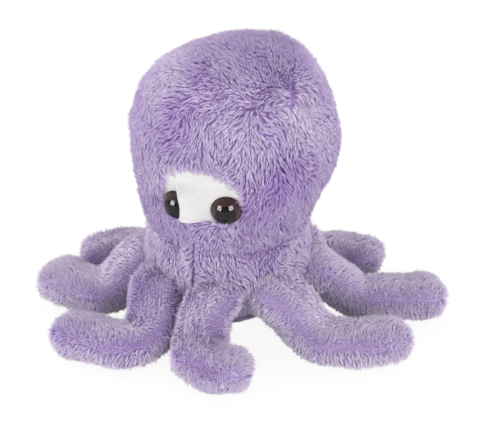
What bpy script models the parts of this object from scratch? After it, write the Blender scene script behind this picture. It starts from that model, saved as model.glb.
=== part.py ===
"""Plush octopus: a stuffed head on a short stuffed body, with eight stuffed arms sewn round it.

Metres, +Z up. The origin is on the floor under the middle of the base, and the face looks along -Y.
A bearing is an angle about the vertical axis: zero in front of the face, a quarter turn at the toy's +X side.
Cover surfaces lie half way up the pile, so the fur stands a little proud of them.
"""

import math

import bmesh
import bpy
from mathutils import Matrix, Vector

# Cloth, filling and sewing
PLUSH_THICKNESS = 0.0024
SEAM_GAP = 0.0005
FILLING_GAP = 0.0008
CUT_OVERRUN = 0.012
MERGE_DISTANCE = 0.00004
SHARP_ANGLE = math.radians(40)
# Directions in a profile of (radius, height) points
DOWN, UP, OUTWARD = (0, -1), (0, 1), (1, 0)

# Body
BODY_RADIUS = 0.035
BASE_RADIUS = 0.0095
BASE_SEAM_HEIGHT = 0.0075
NECK_HEIGHT = 0.047
NECK_RADIUS = 0.0336
FRONT_SEAM_BEARING = math.radians(-7)
BODY_STEPS = 16
# Radius as a share of BODY_RADIUS, height as a share of NECK_HEIGHT, from the flat base up to the neck.
BODY_OUTLINE_SHARES = (
    (0.430, 0.075),
    (0.600, 0.170),
    (0.780, 0.285),
    (0.915, 0.420),
    (0.985, 0.560),
    (1.000, 0.700),
    (0.965, 0.860),
)

# Head
HEAD_RADIUS = 0.0418
HEAD_HEIGHT = 0.0787
HEAD_LEAN_SHARE = 0.055
HEAD_LEAN_BEARING = math.radians(108)
HEAD_STEPS = 18
# Radius as a share of HEAD_RADIUS, height above the neck as a share of HEAD_HEIGHT, up to the top.
HEAD_OUTLINE_SHARES = (
    (0.850, 0.090),
    (0.945, 0.235),
    (1.000, 0.430),
    (0.978, 0.610),
    (0.862, 0.790),
    (0.715, 0.880),
    (0.500, 0.946),
    (0.260, 0.986),
)
CROWN_SEAM_HEIGHT = 0.1025
CROWN_SEAM_TILT = math.radians(11)
CROWN_SEAM_HIGH_BEARING = math.radians(20)
TOP_SEAM_FACING = math.radians(108)
TOP_SEAM_OFFSET = 0.021

# Face patch of short white velour, let into the front of the head
PATCH_RECESS = 0.0008
PATCH_HALF_WIDTH = 0.0170
PATCH_HALF_HEIGHT = 0.0145
PATCH_HEIGHT = 0.0722
PATCH_POINTS = 18
# The outline is a superellipse: two is an ellipse, and more is squarer.
PATCH_SQUARENESS = 2.2

# Eyes: a domed button on a ribbed shank, held by a washer behind the cloth
EYE_RADIUS = 0.006
EYE_DOME_HEIGHT = 0.0047
EYE_BEARING = math.radians(14.7)
EYE_HEIGHT = 0.0694
EYE_DOWN_TILT = math.radians(6)
EYE_STEPS = 16
DOME_RINGS = 4
PUPIL_RADIUS = 0.0038
PUPIL_SOCKET_DEPTH = 0.0030
PUPIL_CLEARANCE = 0.0001
SHANK_RADIUS = 0.0021
SHANK_LENGTH = 0.010
SHANK_RIB_DEPTH = 0.0003
SHANK_RIBS = 3
WASHER_RADIUS = 0.0060
WASHER_THICKNESS = 0.0014
WASHER_SET_BACK = 0.0018
EYE_CLEARANCE = 0.0003

# Arms
ARM_WIDTH = 0.0228
ARM_THICKNESS = 0.0195
ARM_LENGTH = 0.0585
ARM_ROOT_RADIUS = 0.0335
ARM_ROOT_HEIGHT = 0.0255
ARM_ROOT_SINK = 0.010
ARM_FLAT_DEPTH = 0.0005
ARM_DROP_SHARE = 0.45
ARM_ROOT_SHARE = 0.92
ARM_END_SHARE = 0.94
ARM_STATIONS = 8
ARM_TIP_STATIONS = 2
ARM_TIP_ANGLE = math.radians(66)
PATH_STEPS = 40
ARM_SECTION_POINTS = 10
ARM_CORE_POINTS = 6
RING_TWIST = math.radians(-15)
# Of each arm's length: where the turn away from the root starts and ends, and where the curl does.
ARM_LEAD_SHARES = (-0.05, 0.10)
ARM_CURL_SHARES = (0.18, 0.75)
# Name: place in the ring, turn just after the root, and curl along the length, in degrees.
ARMS = {
    "front": (22.5, -33, 140),
    "front_left": (-22.5, 30, -95),
    "left": (-67.5, 27, -66),
    "back_left": (-112.5, 6, 72),
    "back": (-157.5, -10, 40),
    "back_right": (157.5, 32, -85),
    "right": (112.5, 23, -15),
    "front_right": (67.5, 31, 36),
}
# Each arm's length as a share of ARM_LENGTH: the more an arm curls, the more its filling bunches it up.
ARM_LENGTH_SHARES = {
    "front": 0.88,
    "front_left": 0.94,
    "left": 0.96,
    "back_left": 0.92,
    "back": 0.92,
    "back_right": 0.90,
    "right": 1.04,
    "front_right": 1.00,
}

LILAC = (0.42, 0.33, 0.66)
LILAC_PALE = (0.50, 0.42, 0.70)
WHITE_VELOUR = (0.88, 0.87, 0.88)
FILLING_WHITE = (0.85, 0.85, 0.83)
IRIS_BROWN = (0.09, 0.035, 0.02)
PUPIL_BLACK = (0.004, 0.004, 0.004)
NYLON_WHITE = (0.75, 0.75, 0.72)
FUR_ROUGHNESS = 0.9
FILLING_ROUGHNESS = 1.0
IRIS_ROUGHNESS = 0.12
PUPIL_ROUGHNESS = 0.05
NYLON_ROUGHNESS = 0.5


def clear_scene():
    for obj in list(bpy.data.objects):
        bpy.data.objects.remove(obj)


def add_collection(name):
    made = bpy.data.collections.new(name)
    bpy.context.scene.collection.children.link(made)
    return made


def add_material(name, colour, roughness):
    made = bpy.data.materials.new(name)
    made.use_nodes = True
    shader = made.node_tree.nodes["Principled BSDF"]
    shader.inputs["Base Color"].default_value = (*colour, 1)
    shader.inputs["Roughness"].default_value = roughness
    shader.inputs["Metallic"].default_value = 0
    return made


def add_part(name, mesh, material):
    """A finished piece of the toy, with a material of its own."""
    own_mesh = mesh.copy()
    own_mesh.name = name
    own_mesh.materials.clear()
    own_mesh.materials.append(material)
    part = bpy.data.objects.new(name, own_mesh)
    toy.objects.link(part)
    return part


def add_cutter(name, mesh, matrix=None):
    cutter = bpy.data.objects.new(name, mesh)
    cutters.objects.link(cutter)
    cutter.hide_render = True
    cutter.display_type = "WIRE"
    if matrix is not None:
        cutter.matrix_world = matrix
    return cutter


def cut(part, cutter, operation="DIFFERENCE", solver="EXACT"):
    modifier = part.modifiers.new(cutter.name, "BOOLEAN")
    modifier.operation = operation
    modifier.solver = solver
    modifier.object = cutter


def baked(obj):
    """The mesh of an object with its modifiers or bevel applied. The object is removed."""
    bpy.context.view_layer.update()
    graph = bpy.context.evaluated_depsgraph_get()
    mesh = bpy.data.meshes.new_from_object(obj.evaluated_get(graph))
    mesh.transform(obj.matrix_world)
    bpy.data.objects.remove(obj)
    shape = bmesh.new()
    shape.from_mesh(mesh)
    bmesh.ops.remove_doubles(shape, verts=shape.verts, dist=MERGE_DISTANCE)
    bmesh.ops.recalc_face_normals(shape, faces=shape.faces)
    if shape.calc_volume(signed=True) < 0:
        bmesh.ops.reverse_faces(shape, faces=shape.faces)
    shape.to_mesh(mesh)
    shape.free()
    mesh.shade_smooth()
    mesh.set_sharp_from_angle(angle=SHARP_ANGLE)
    return mesh


def turned(profile, steps, closed=False):
    """The solid that a profile of (radius, height) points sweeps about the Z axis."""
    corners = [(radius, 0, height) for radius, height in profile]
    edges = [(i, i + 1) for i in range(len(corners) - 1)]
    if closed:
        edges.append((len(corners) - 1, 0))
    outline = bpy.data.meshes.new("profile")
    outline.from_pydata(corners, edges, [])
    obj = bpy.data.objects.new("profile", outline)
    bpy.context.scene.collection.objects.link(obj)
    screw = obj.modifiers.new("turn", "SCREW")
    screw.axis = "Z"
    screw.steps = steps
    screw.render_steps = steps
    screw.use_merge_vertices = True
    screw.merge_threshold = MERGE_DISTANCE
    return baked(obj)


def offset(profile, distance, first, last):
    """A profile that runs down, grown outward by distance. Its ends move along first and last, to stay on their cut."""
    moved = [Vector(profile[0]) + Vector(first) * distance]
    for before, here, after in zip(profile, profile[1:], profile[2:]):
        along = (Vector(after) - Vector(before)).normalized()
        moved.append(Vector(here) + Vector((-along.y, along.x)) * distance)
    moved.append(Vector(profile[-1]) + Vector(last) * distance)
    return [(max(point.x, 0), point.y) for point in moved]


def smoothstep(value, low, high):
    share = min(max((value - low) / (high - low), 0), 1)
    return share * share * (3 - 2 * share)


def on_bearing(bearing, radius, height):
    return Vector((radius * math.sin(bearing), -radius * math.cos(bearing), height))


def half_space(name, point, normal):
    """A large box whose one face lies on a plane, with the box on the side that normal points to."""
    size = 4 * (HEAD_RADIUS + HEAD_HEIGHT)
    shape = bmesh.new()
    bmesh.ops.create_cube(shape, size=size)
    mesh = bpy.data.meshes.new(name)
    shape.to_mesh(mesh)
    shape.free()
    turn = Vector(normal).to_track_quat("Z", "Y").to_matrix().to_4x4()
    place = Matrix.Translation(Vector(point) + Vector(normal).normalized() * size / 2)
    mesh.transform(place @ turn)
    return add_cutter(name, mesh)


def split_planes(name, point, normal):
    """The two cutters of one seam: the first keeps what is below the plane, the second what is above it."""
    normal = Vector(normal).normalized()
    above = half_space(name + "_above", Vector(point) - normal * SEAM_GAP / 2, normal)
    below = half_space(name + "_below", Vector(point) + normal * SEAM_GAP / 2, -normal)
    return above, below


def head_profile():
    """The outside of the head, from the top down to the neck."""
    rows = [
        (radius * HEAD_RADIUS, NECK_HEIGHT + height * HEAD_HEIGHT)
        for radius, height in HEAD_OUTLINE_SHARES
    ]
    rows.insert(0, (NECK_RADIUS, NECK_HEIGHT + SEAM_GAP / 2))
    rows.append((0, NECK_HEIGHT + HEAD_HEIGHT))
    return rows[::-1]


def body_profile():
    """The outside of the body, from the neck down to the middle of the flat base."""
    rows = [(radius * BODY_RADIUS, height * NECK_HEIGHT) for radius, height in BODY_OUTLINE_SHARES]
    rows = [(0, 0), (BASE_RADIUS, 0)] + rows + [(NECK_RADIUS, NECK_HEIGHT - SEAM_GAP / 2)]
    return rows[::-1]


def radius_at(profile, height):
    """The radius of a profile that runs down, at a height between two of its points."""
    for (upper_radius, upper), (lower_radius, lower) in zip(profile, profile[1:]):
        if lower <= height <= upper:
            share = (height - lower) / (upper - lower)
            return lower_radius + (upper_radius - lower_radius) * share
    return 0


def lean_at(height):
    """How far the head's middle has leaned sideways at a height."""
    return on_bearing(HEAD_LEAN_BEARING, HEAD_LEAN_SHARE * (height - NECK_HEIGHT), 0)


def leaned(mesh):
    """Shears a head mesh so that it leans from the neck up."""
    lean = lean_at(NECK_HEIGHT + HEAD_HEIGHT) / HEAD_HEIGHT
    shear = Matrix.Identity(4)
    shear[0][2], shear[1][2] = lean.x, lean.y
    shear[0][3], shear[1][3] = -lean.x * NECK_HEIGHT, -lean.y * NECK_HEIGHT
    mesh.transform(shear)
    return mesh


def head_layer(outer_inset, inner_inset):
    """A shell of the head between two depths below its outside."""
    outer = offset(head_profile(), -outer_inset, UP, OUTWARD)
    inner = offset(head_profile(), -inner_inset, UP, OUTWARD)
    return leaned(turned(outer + inner[::-1], HEAD_STEPS))


def head_core(inset):
    """The solid of the head inside a depth below its outside."""
    outer = offset(head_profile(), -inset, UP, OUTWARD)
    return leaned(turned(outer + [(0, outer[-1][1])], HEAD_STEPS))


def patch_prism(name, grown):
    """A prism along Y with the face patch's outline, in front of the head's middle."""
    outline = bpy.data.curves.new(name, "CURVE")
    outline.dimensions = "2D"
    outline.fill_mode = "BOTH"
    outline.extrude = HEAD_RADIUS / 2
    spline = outline.splines.new("POLY")
    spline.points.add(PATCH_POINTS - 1)
    for i, point in enumerate(spline.points):
        angle = math.tau * i / PATCH_POINTS
        across = math.copysign(abs(math.cos(angle)) ** (2 / PATCH_SQUARENESS), math.cos(angle))
        up = math.copysign(abs(math.sin(angle)) ** (2 / PATCH_SQUARENESS), math.sin(angle))
        point.co = (across * (PATCH_HALF_WIDTH + grown), up * (PATCH_HALF_HEIGHT + grown), 0, 1)
    spline.use_cyclic_u = True
    obj = bpy.data.objects.new(name, outline)
    bpy.context.scene.collection.objects.link(obj)
    obj.rotation_euler.x = math.radians(90)
    obj.location = lean_at(PATCH_HEIGHT) + Vector((0, -HEAD_RADIUS, PATCH_HEIGHT))
    return add_cutter(name, baked(obj))


def build_head_cover():
    """Four fur panels: the face and the nape round the sides, and two over the crown."""
    shell = head_layer(0, PLUSH_THICKNESS)
    middle = on_bearing(0, 0, CROWN_SEAM_HEIGHT)
    tilt = on_bearing(CROWN_SEAM_HIGH_BEARING, -math.sin(CROWN_SEAM_TILT), math.cos(CROWN_SEAM_TILT))
    crown_above, crown_below = split_planes("crown_seam", middle, tilt)
    side_above, side_below = split_planes("side_seam", (0, 0, 0), (0, 1, 0))
    top_seam = lean_at(CROWN_SEAM_HEIGHT) + on_bearing(TOP_SEAM_FACING, TOP_SEAM_OFFSET, 0)
    top_above, top_below = split_planes("top_seam", top_seam, on_bearing(TOP_SEAM_FACING, 1, 0))
    opening = patch_prism("face_opening", SEAM_GAP)
    panels = {
        "face_panel": (crown_above, side_above, opening, *eye_pockets),
        "nape_panel": (crown_above, side_below),
        "crown_left_panel": (crown_below, top_above),
        "crown_right_panel": (crown_below, top_below),
    }
    for name, tools in panels.items():
        panel = add_part(name, shell, add_material(name, LILAC, FUR_ROUGHNESS))
        for tool in tools:
            cut(panel, tool)


def build_face_patch():
    patch = add_part(
        "face_patch",
        head_layer(PATCH_RECESS, PLUSH_THICKNESS),
        add_material("face_patch", WHITE_VELOUR, FUR_ROUGHNESS),
    )
    cut(patch, patch_prism("face_patch_outline", 0), "INTERSECT")
    for pocket in eye_pockets:
        cut(patch, pocket)


def eye_matrix(side):
    """Where an eye sits: its origin is the middle of the dome's flat back, and +Z points out of the head."""
    profile = head_profile()
    bearing = side * EYE_BEARING
    radius = radius_at(profile, EYE_HEIGHT) - PATCH_RECESS + EYE_CLEARANCE
    place = lean_at(EYE_HEIGHT) + on_bearing(bearing, radius, EYE_HEIGHT)
    out = on_bearing(bearing, math.cos(EYE_DOWN_TILT), -math.sin(EYE_DOWN_TILT))
    return Matrix.Translation(place) @ out.to_track_quat("Z", "Y").to_matrix().to_4x4()


def washer_face():
    """How far behind the dome's back the washer's front face is."""
    return PLUSH_THICKNESS - PATCH_RECESS + WASHER_SET_BACK


def dome_points(radius, reach):
    """Points down a dome's outside, between two distances from its axis."""
    ball = (EYE_RADIUS**2 + EYE_DOME_HEIGHT**2) / (2 * EYE_DOME_HEIGHT)
    middle = EYE_DOME_HEIGHT - ball
    points = []
    for i in range(DOME_RINGS + 1):
        across = radius + (reach - radius) * math.sin(math.radians(90) * i / DOME_RINGS)
        points.append((across, middle + math.sqrt(ball**2 - across**2)))
    return points


def eye_iris():
    """The brown dome with its socket for the pupil, on its ribbed shank."""
    floor = EYE_DOME_HEIGHT - PUPIL_SOCKET_DEPTH
    profile = [(0, floor), (PUPIL_RADIUS, floor)]
    profile += dome_points(PUPIL_RADIUS, EYE_RADIUS)
    profile += [(SHANK_RADIUS, 0)]
    pitch = SHANK_LENGTH / (2 * SHANK_RIBS + 1)
    for i in range(SHANK_RIBS):
        top = -pitch * (2 * i + 1)
        profile += [(SHANK_RADIUS, top), (SHANK_RADIUS + SHANK_RIB_DEPTH, top - pitch / 2)]
        profile += [(SHANK_RADIUS, top - pitch)]
    profile += [(SHANK_RADIUS, -SHANK_LENGTH), (0, -SHANK_LENGTH)]
    return turned(profile, EYE_STEPS)


def eye_pupil():
    """The black plug that fills the socket and carries on the dome."""
    reach = PUPIL_RADIUS - EYE_CLEARANCE
    floor = EYE_DOME_HEIGHT - PUPIL_SOCKET_DEPTH + PUPIL_CLEARANCE
    return turned(dome_points(0, reach) + [(reach, floor), (0, floor)], EYE_STEPS)


def eye_washer():
    bore = SHANK_RADIUS + SHANK_RIB_DEPTH + EYE_CLEARANCE
    top = -washer_face()
    bottom = top - WASHER_THICKNESS
    rows = [(bore, top), (WASHER_RADIUS, top), (WASHER_RADIUS, bottom), (bore, bottom)]
    return turned(rows, EYE_STEPS, closed=True)


def pocket_profile(rim, step, end):
    """A stepped hole: wide from outside the head down to step, then as wide as the shank down to end."""
    hole = SHANK_RADIUS + SHANK_RIB_DEPTH + EYE_CLEARANCE
    return [(0, CUT_OVERRUN), (rim, CUT_OVERRUN), (rim, step), (hole, step), (hole, end), (0, end)]


def build_eyes():
    """Both eyes, and the cutters that make room for them in the cloth and in the filling."""
    front = turned(
        pocket_profile(EYE_RADIUS + EYE_CLEARANCE, -EYE_CLEARANCE, -SHANK_LENGTH), EYE_STEPS
    )
    washer_back = -washer_face() - WASHER_THICKNESS - EYE_CLEARANCE
    back = turned(
        pocket_profile(WASHER_RADIUS + EYE_CLEARANCE, washer_back, -SHANK_LENGTH - EYE_CLEARANCE),
        EYE_STEPS,
    )
    pieces = {
        "iris": (eye_iris(), IRIS_BROWN, IRIS_ROUGHNESS),
        "pupil": (eye_pupil(), PUPIL_BLACK, PUPIL_ROUGHNESS),
        "washer": (eye_washer(), NYLON_WHITE, NYLON_ROUGHNESS),
    }
    for name, side in (("left_eye", -1), ("right_eye", 1)):
        matrix = eye_matrix(side)
        eye_pockets.append(add_cutter(name + "_pocket", front, matrix))
        filling_pockets.append(add_cutter(name + "_filling_pocket", back, matrix))
        for piece, (mesh, colour, roughness) in pieces.items():
            full_name = name + "_" + piece
            part = add_part(full_name, mesh, add_material(full_name, colour, roughness))
            part.matrix_world = matrix


def build_filling():
    """The wadding that fills the head and the body."""
    inset = PLUSH_THICKNESS + FILLING_GAP
    material = add_material("head_stuffing", FILLING_WHITE, FILLING_ROUGHNESS)
    head = add_part("head_stuffing", head_core(inset), material)
    for pocket in filling_pockets:
        cut(head, pocket)
    outer = offset(body_profile(), -inset, OUTWARD, DOWN)
    solid = turned([(0, outer[0][1])] + outer, BODY_STEPS)
    add_part("body_stuffing", solid, add_material("body_stuffing", FILLING_WHITE, FILLING_ROUGHNESS))


def build_body_cover():
    """Two fur panels sewn down the front and the back, and the round base that closes them below."""
    outer = body_profile()
    inner = offset(outer, -PLUSH_THICKNESS, OUTWARD, DOWN)
    shell = turned(inner[::-1] + outer, BODY_STEPS)
    normal = on_bearing(FRONT_SEAM_BEARING + math.radians(90), 1, 0)
    seam_above, seam_below = split_planes("front_seam", (0, 0, 0), normal)
    base_above, base_below = split_planes("base_seam", (0, 0, BASE_SEAM_HEIGHT), (0, 0, 1))
    panels = {
        "body_left_panel": (LILAC, (base_below, seam_above)),
        "body_right_panel": (LILAC, (base_below, seam_below)),
        "base_panel": (LILAC_PALE, (base_above,)),
    }
    for name, (colour, tools) in panels.items():
        panel = add_part(name, shell, add_material(name, colour, FUR_ROUGHNESS))
        for tool in tools:
            cut(panel, tool)


def arm_girth(share):
    """How thick the arm is at a share of its length: it swells from the root and tapers to the tip."""
    swell = math.sin(math.pi * min(max(share, 0), 1))
    ends = ARM_ROOT_SHARE + (ARM_END_SHARE - ARM_ROOT_SHARE) * share
    return ends + (1 - ends) * swell


def arm_stations(inset, length):
    """(distance along the arm, girth) at each section, for a surface that lies inset below the outside."""
    round_start = length - ARM_WIDTH / 2
    round_depth = ARM_WIDTH / 2 - inset
    pitch = (round_start + ARM_ROOT_SINK) / (ARM_STATIONS - 1)
    stations = [(-ARM_ROOT_SINK - CUT_OVERRUN, ARM_ROOT_SHARE)] if inset else []
    for i in range(ARM_STATIONS):
        # The sections inside lie between the outside's, as a Boolean goes wrong where their edges cross.
        along = -ARM_ROOT_SINK + pitch * (i - 0.5 if inset else i)
        stations.append((along, arm_girth(along / length)))
    full = stations[-1][1]
    for i in range(1, ARM_TIP_STATIONS + 1):
        angle = ARM_TIP_ANGLE * i / ARM_TIP_STATIONS
        stations.append((round_start + round_depth * math.sin(angle), full * math.cos(angle)))
    return stations


def arm_heading(bearing, lead, curl, share):
    start, end = ARM_CURL_SHARES
    bend = min(max((share - start) / (end - start), 0), 1)
    return bearing + lead * smoothstep(share, *ARM_LEAD_SHARES) + curl * bend


def arm_centre(bearing, lead, curl, length, along):
    """A point on the arm's middle line: out of the body, down to the floor, and round with its curl."""
    place = on_bearing(bearing, ARM_ROOT_RADIUS, 0)
    step = along / PATH_STEPS
    for i in range(PATH_STEPS):
        heading = arm_heading(bearing, lead, curl, step * (i + 0.5) / length)
        place += on_bearing(heading, step, 0)
    share = along / length
    round_share = 1 - ARM_WIDTH / (2 * length)
    resting = arm_girth(min(share, round_share)) * ARM_THICKNESS / 2 - ARM_FLAT_DEPTH
    drop = smoothstep(share, 0, ARM_DROP_SHARE)
    place.z = ARM_ROOT_HEIGHT + (resting - ARM_ROOT_HEIGHT) * drop
    return place


def section_curve(points):
    """A closed flat outline for a sweep to follow."""
    outline = bpy.data.curves.new("section", "CURVE")
    outline.dimensions = "2D"
    spline = outline.splines.new("POLY")
    spline.points.add(len(points) - 1)
    for point, (across, up) in zip(spline.points, points):
        point.co = (across, up, 0, 1)
    spline.use_cyclic_u = True
    return bpy.data.objects.new("section", outline)


def swept(section, inset, arm):
    """A section swept along an arm's middle line, thicker and thinner with its girth.

    An arm is its (bearing, turn after the root, curl, length).
    """
    outline = section_curve(section)
    bpy.context.scene.collection.objects.link(outline)
    route = bpy.data.curves.new("route", "CURVE")
    route.dimensions = "3D"
    route.twist_mode = "Z_UP"
    route.bevel_mode = "OBJECT"
    route.bevel_object = outline
    route.use_fill_caps = True
    stations = arm_stations(inset, arm[-1])
    spline = route.splines.new("POLY")
    spline.points.add(len(stations) - 1)
    for point, (along, girth) in zip(spline.points, stations):
        point.co = (*arm_centre(*arm, along), 1)
        point.radius = girth
    obj = bpy.data.objects.new("route", route)
    bpy.context.scene.collection.objects.link(obj)
    mesh = baked(obj)
    bpy.data.objects.remove(outline)
    return mesh


def oval_section(inset):
    """An oval with a vertex on neither side seam, so that a seam crosses its faces."""
    points = []
    for i in range(ARM_CORE_POINTS):
        angle = math.tau * (i + 0.5) / ARM_CORE_POINTS
        across = (ARM_WIDTH / 2 - inset) * math.cos(angle)
        points.append((across, (ARM_THICKNESS / 2 - inset) * math.sin(angle)))
    return points


def half_section(side):
    """The upper (1) or lower (-1) half of the arm's outside, closed along the side seams."""
    points = []
    for i in range(ARM_SECTION_POINTS // 2 + 1):
        angle = math.tau * i / ARM_SECTION_POINTS
        up = max(ARM_THICKNESS / 2 * math.sin(angle), SEAM_GAP / 2)
        points.append((ARM_WIDTH / 2 * math.cos(angle), side * up))
    # A seam face this narrow stays nearly flat where the arm curls and drops at once.
    inner = ARM_WIDTH / 2 - 2 * PLUSH_THICKNESS
    return points + [(-inner, side * SEAM_GAP / 2), (inner, side * SEAM_GAP / 2)]


def build_arm(name, arm):
    """One arm: an upper and a lower fur panel round its wadding, hung from the seam at the top of its root."""
    bearing = arm[0]
    hinge_height = ARM_ROOT_HEIGHT + ARM_ROOT_SHARE * ARM_THICKNESS / 2
    hinge_radius = radius_at(body_profile(), hinge_height) + SEAM_GAP
    hinge = bpy.data.objects.new("arm_" + name + "_hinge", None)
    toy.objects.link(hinge)
    hinge.location = on_bearing(bearing, hinge_radius, hinge_height)
    hinge.rotation_euler.z = bearing
    bpy.context.view_layer.update()
    core = swept(oval_section(PLUSH_THICKNESS), PLUSH_THICKNESS, arm)
    hollow = add_cutter("arm_" + name + "_hollow", core)
    inset = PLUSH_THICKNESS + FILLING_GAP
    pieces = {
        "upper": (swept(half_section(1), 0, arm), LILAC, (body_room, hollow)),
        "lower": (swept(half_section(-1), 0, arm), LILAC_PALE, (body_room, hollow, floor)),
        "stuffing": (swept(oval_section(inset), inset, arm), FILLING_WHITE, (body_room,)),
    }
    for piece, (mesh, colour, tools) in pieces.items():
        full_name = "arm_" + name + "_" + piece
        mesh.transform(hinge.matrix_world.inverted())
        part = add_part(full_name, mesh, add_material(full_name, colour, FUR_ROUGHNESS))
        part.parent = hinge
        # The walls of a curled half are warped, which the exact solver doesn't always close.
        for tool in tools:
            cut(part, tool, solver="MANIFOLD")


def build_arms():
    for name, (place, lead, curl) in ARMS.items():
        bearing = math.radians(place) + RING_TWIST
        length = ARM_LENGTH * ARM_LENGTH_SHARES[name]
        build_arm(name, (bearing, math.radians(lead), math.radians(curl), length))


def body_clearance():
    """The body's outside grown by the seam gap, which the roots of the arms are cut to."""
    outer = offset(body_profile(), SEAM_GAP, OUTWARD, DOWN)
    return turned([(0, outer[0][1])] + outer, BODY_STEPS)


clear_scene()
toy = add_collection("plush_octopus")
cutters = add_collection("cutters")
eye_pockets = []
filling_pockets = []
body_room = add_cutter("body_room", body_clearance())
floor = half_space("floor", (0, 0, 0), (0, 0, -1))
build_eyes()
build_head_cover()
build_face_patch()
build_filling()
build_body_cover()
build_arms()
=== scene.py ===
"""The plush octopus dressed for its photograph: pile, velour, button eyes and a small white studio.

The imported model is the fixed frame, in metres, with the face along -Y and the floor at zero.
Each fur panel is rebuilt as a cloth shell a little under the panel's own place, with the pile rooted in it.
"""

import logging
import math
from collections.abc import Callable
from dataclasses import dataclass, fields
from enum import Enum

import bmesh
import bpy
import numpy as np
from bpy.types import Material, Mesh, NodeSocket, Object
from mathutils import Matrix, Vector


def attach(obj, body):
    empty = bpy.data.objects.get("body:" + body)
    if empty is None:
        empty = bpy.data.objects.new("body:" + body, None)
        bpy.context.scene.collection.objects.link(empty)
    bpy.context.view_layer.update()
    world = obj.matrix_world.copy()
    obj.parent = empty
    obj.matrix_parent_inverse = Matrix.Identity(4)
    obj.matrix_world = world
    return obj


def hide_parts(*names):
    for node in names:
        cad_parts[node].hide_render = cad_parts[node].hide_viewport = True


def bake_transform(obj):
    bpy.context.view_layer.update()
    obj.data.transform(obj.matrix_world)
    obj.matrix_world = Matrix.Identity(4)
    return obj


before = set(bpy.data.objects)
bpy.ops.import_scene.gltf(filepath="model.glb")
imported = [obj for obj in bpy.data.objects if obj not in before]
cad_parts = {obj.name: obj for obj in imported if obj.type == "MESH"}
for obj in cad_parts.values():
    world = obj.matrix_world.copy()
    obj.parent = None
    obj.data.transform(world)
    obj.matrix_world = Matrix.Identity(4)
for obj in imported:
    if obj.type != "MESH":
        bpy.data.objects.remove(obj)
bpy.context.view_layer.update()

Array = np.ndarray

LOG = logging.getLogger("plush_octopus")
PILE_MAP = "OFBake"
UP = np.array((0.0, 0.0, 1.0))

# What the sub-assemblies share with the part's source
NECK_HEIGHT = 0.047
NECK_RADIUS = 0.0336
CLOTH_DEPTH = 0.0014
CLOTH_THICKNESS = 0.0007
PAD_DEPTH = 0.0029
FLOOR_CLEARANCE = 0.0003
HALF_SEAM_GAP = 0.00002
HEAD_MIDDLE = np.array((0, 0, 0.08))

# The pile's tint runs from deep to pale within these
TINT_RANGE = (0.03, 0.97)

# A ripple is a sum of waves: how many, how their lengths spread, and what brings the sum to about 1
RIPPLE_WAVES = 6
RIPPLE_SPREAD = (0.6, 1.5)
RIPPLE_SUM = 2.6

# Places of the colour sockets of a Mix node that mixes colours
MIX_FIRST, MIX_SECOND, MIX_RESULT = 6, 7, 2


def on_bearing(bearing: float, radius: float, height: float) -> Array:
    """Gives points at a bearing about the vertical axis, which is zero in front of the face.

    Args:
        bearing: Angle or angles about the vertical axis, in radians.
        radius: Distance or distances from the axis.
        height: Height or heights above the floor.

    Returns:
        The points, with their coordinates along the last axis.
    """
    bearing, radius, height = np.broadcast_arrays(bearing, radius, height)
    return np.stack([radius * np.sin(bearing), -radius * np.cos(bearing), height], axis=-1).astype(float)


def smoothstep(value: Array, low: float | Array, high: float | Array) -> Array:
    """Rises smoothly from 0 at low to 1 at high."""
    share = np.clip((value - low) / (high - low), 0, 1)
    return share * share * (3 - 2 * share)


def unit(vectors: Array) -> Array:
    """Scales vectors to unit length."""
    return vectors / np.maximum(np.linalg.norm(vectors, axis=-1, keepdims=True), 1e-12)


def dot(first: Array, second: Array) -> Array:
    """Multiplies vectors pair by pair, and keeps a last axis of one number."""
    return (first * second).sum(-1, keepdims=True)


def in_surface(vectors: Array, normals: Array) -> Array:
    """Lays vectors down into a surface, at unit length."""
    return unit(vectors - normals * dot(vectors, normals))


def turned(flow: Array, normals: Array, angle: Array) -> Array:
    """Turns directions that lie in a surface by an angle about its normals."""
    return flow * np.cos(angle)[:, None] + np.cross(normals, flow) * np.sin(angle)[:, None]


def ripple(points: Array, scale: float, seed: int) -> Array:
    """Wanders smoothly through space, about from -1 to 1.

    Args:
        points: The places to read.
        scale: The usual distance from one high to the next.
        seed: Which of many patterns to read.

    Returns:
        One number for each point.
    """
    rng = np.random.default_rng(seed)
    total = np.zeros(points.shape[:-1])
    for _ in range(RIPPLE_WAVES):
        wave = unit(rng.normal(size=3)) * math.tau / scale * rng.uniform(*RIPPLE_SPREAD)
        total += np.sin(points @ wave + rng.uniform(0, math.tau))
    return total / RIPPLE_SUM


def ripples(points: Array, waves: tuple) -> Array:
    """Adds up ripples, each given by its height, its scale and its seed."""
    return sum(height * ripple(points, scale, seed) for height, scale, seed in waves)


def bell(away: Array, reach: float) -> Array:
    """Falls from 1 at no distance, roundly, over a reach."""
    return np.exp(-((away / reach) ** 2))


def peaked(away: Array, reach: float) -> Array:
    """Falls from 1 at no distance, steeply at first, over a reach."""
    return np.exp(-np.abs(away) / reach)


def apart(points: Array, place: tuple) -> Array:
    """Gives how far points are from a place."""
    return np.linalg.norm(points - np.array(place), axis=-1)


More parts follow.
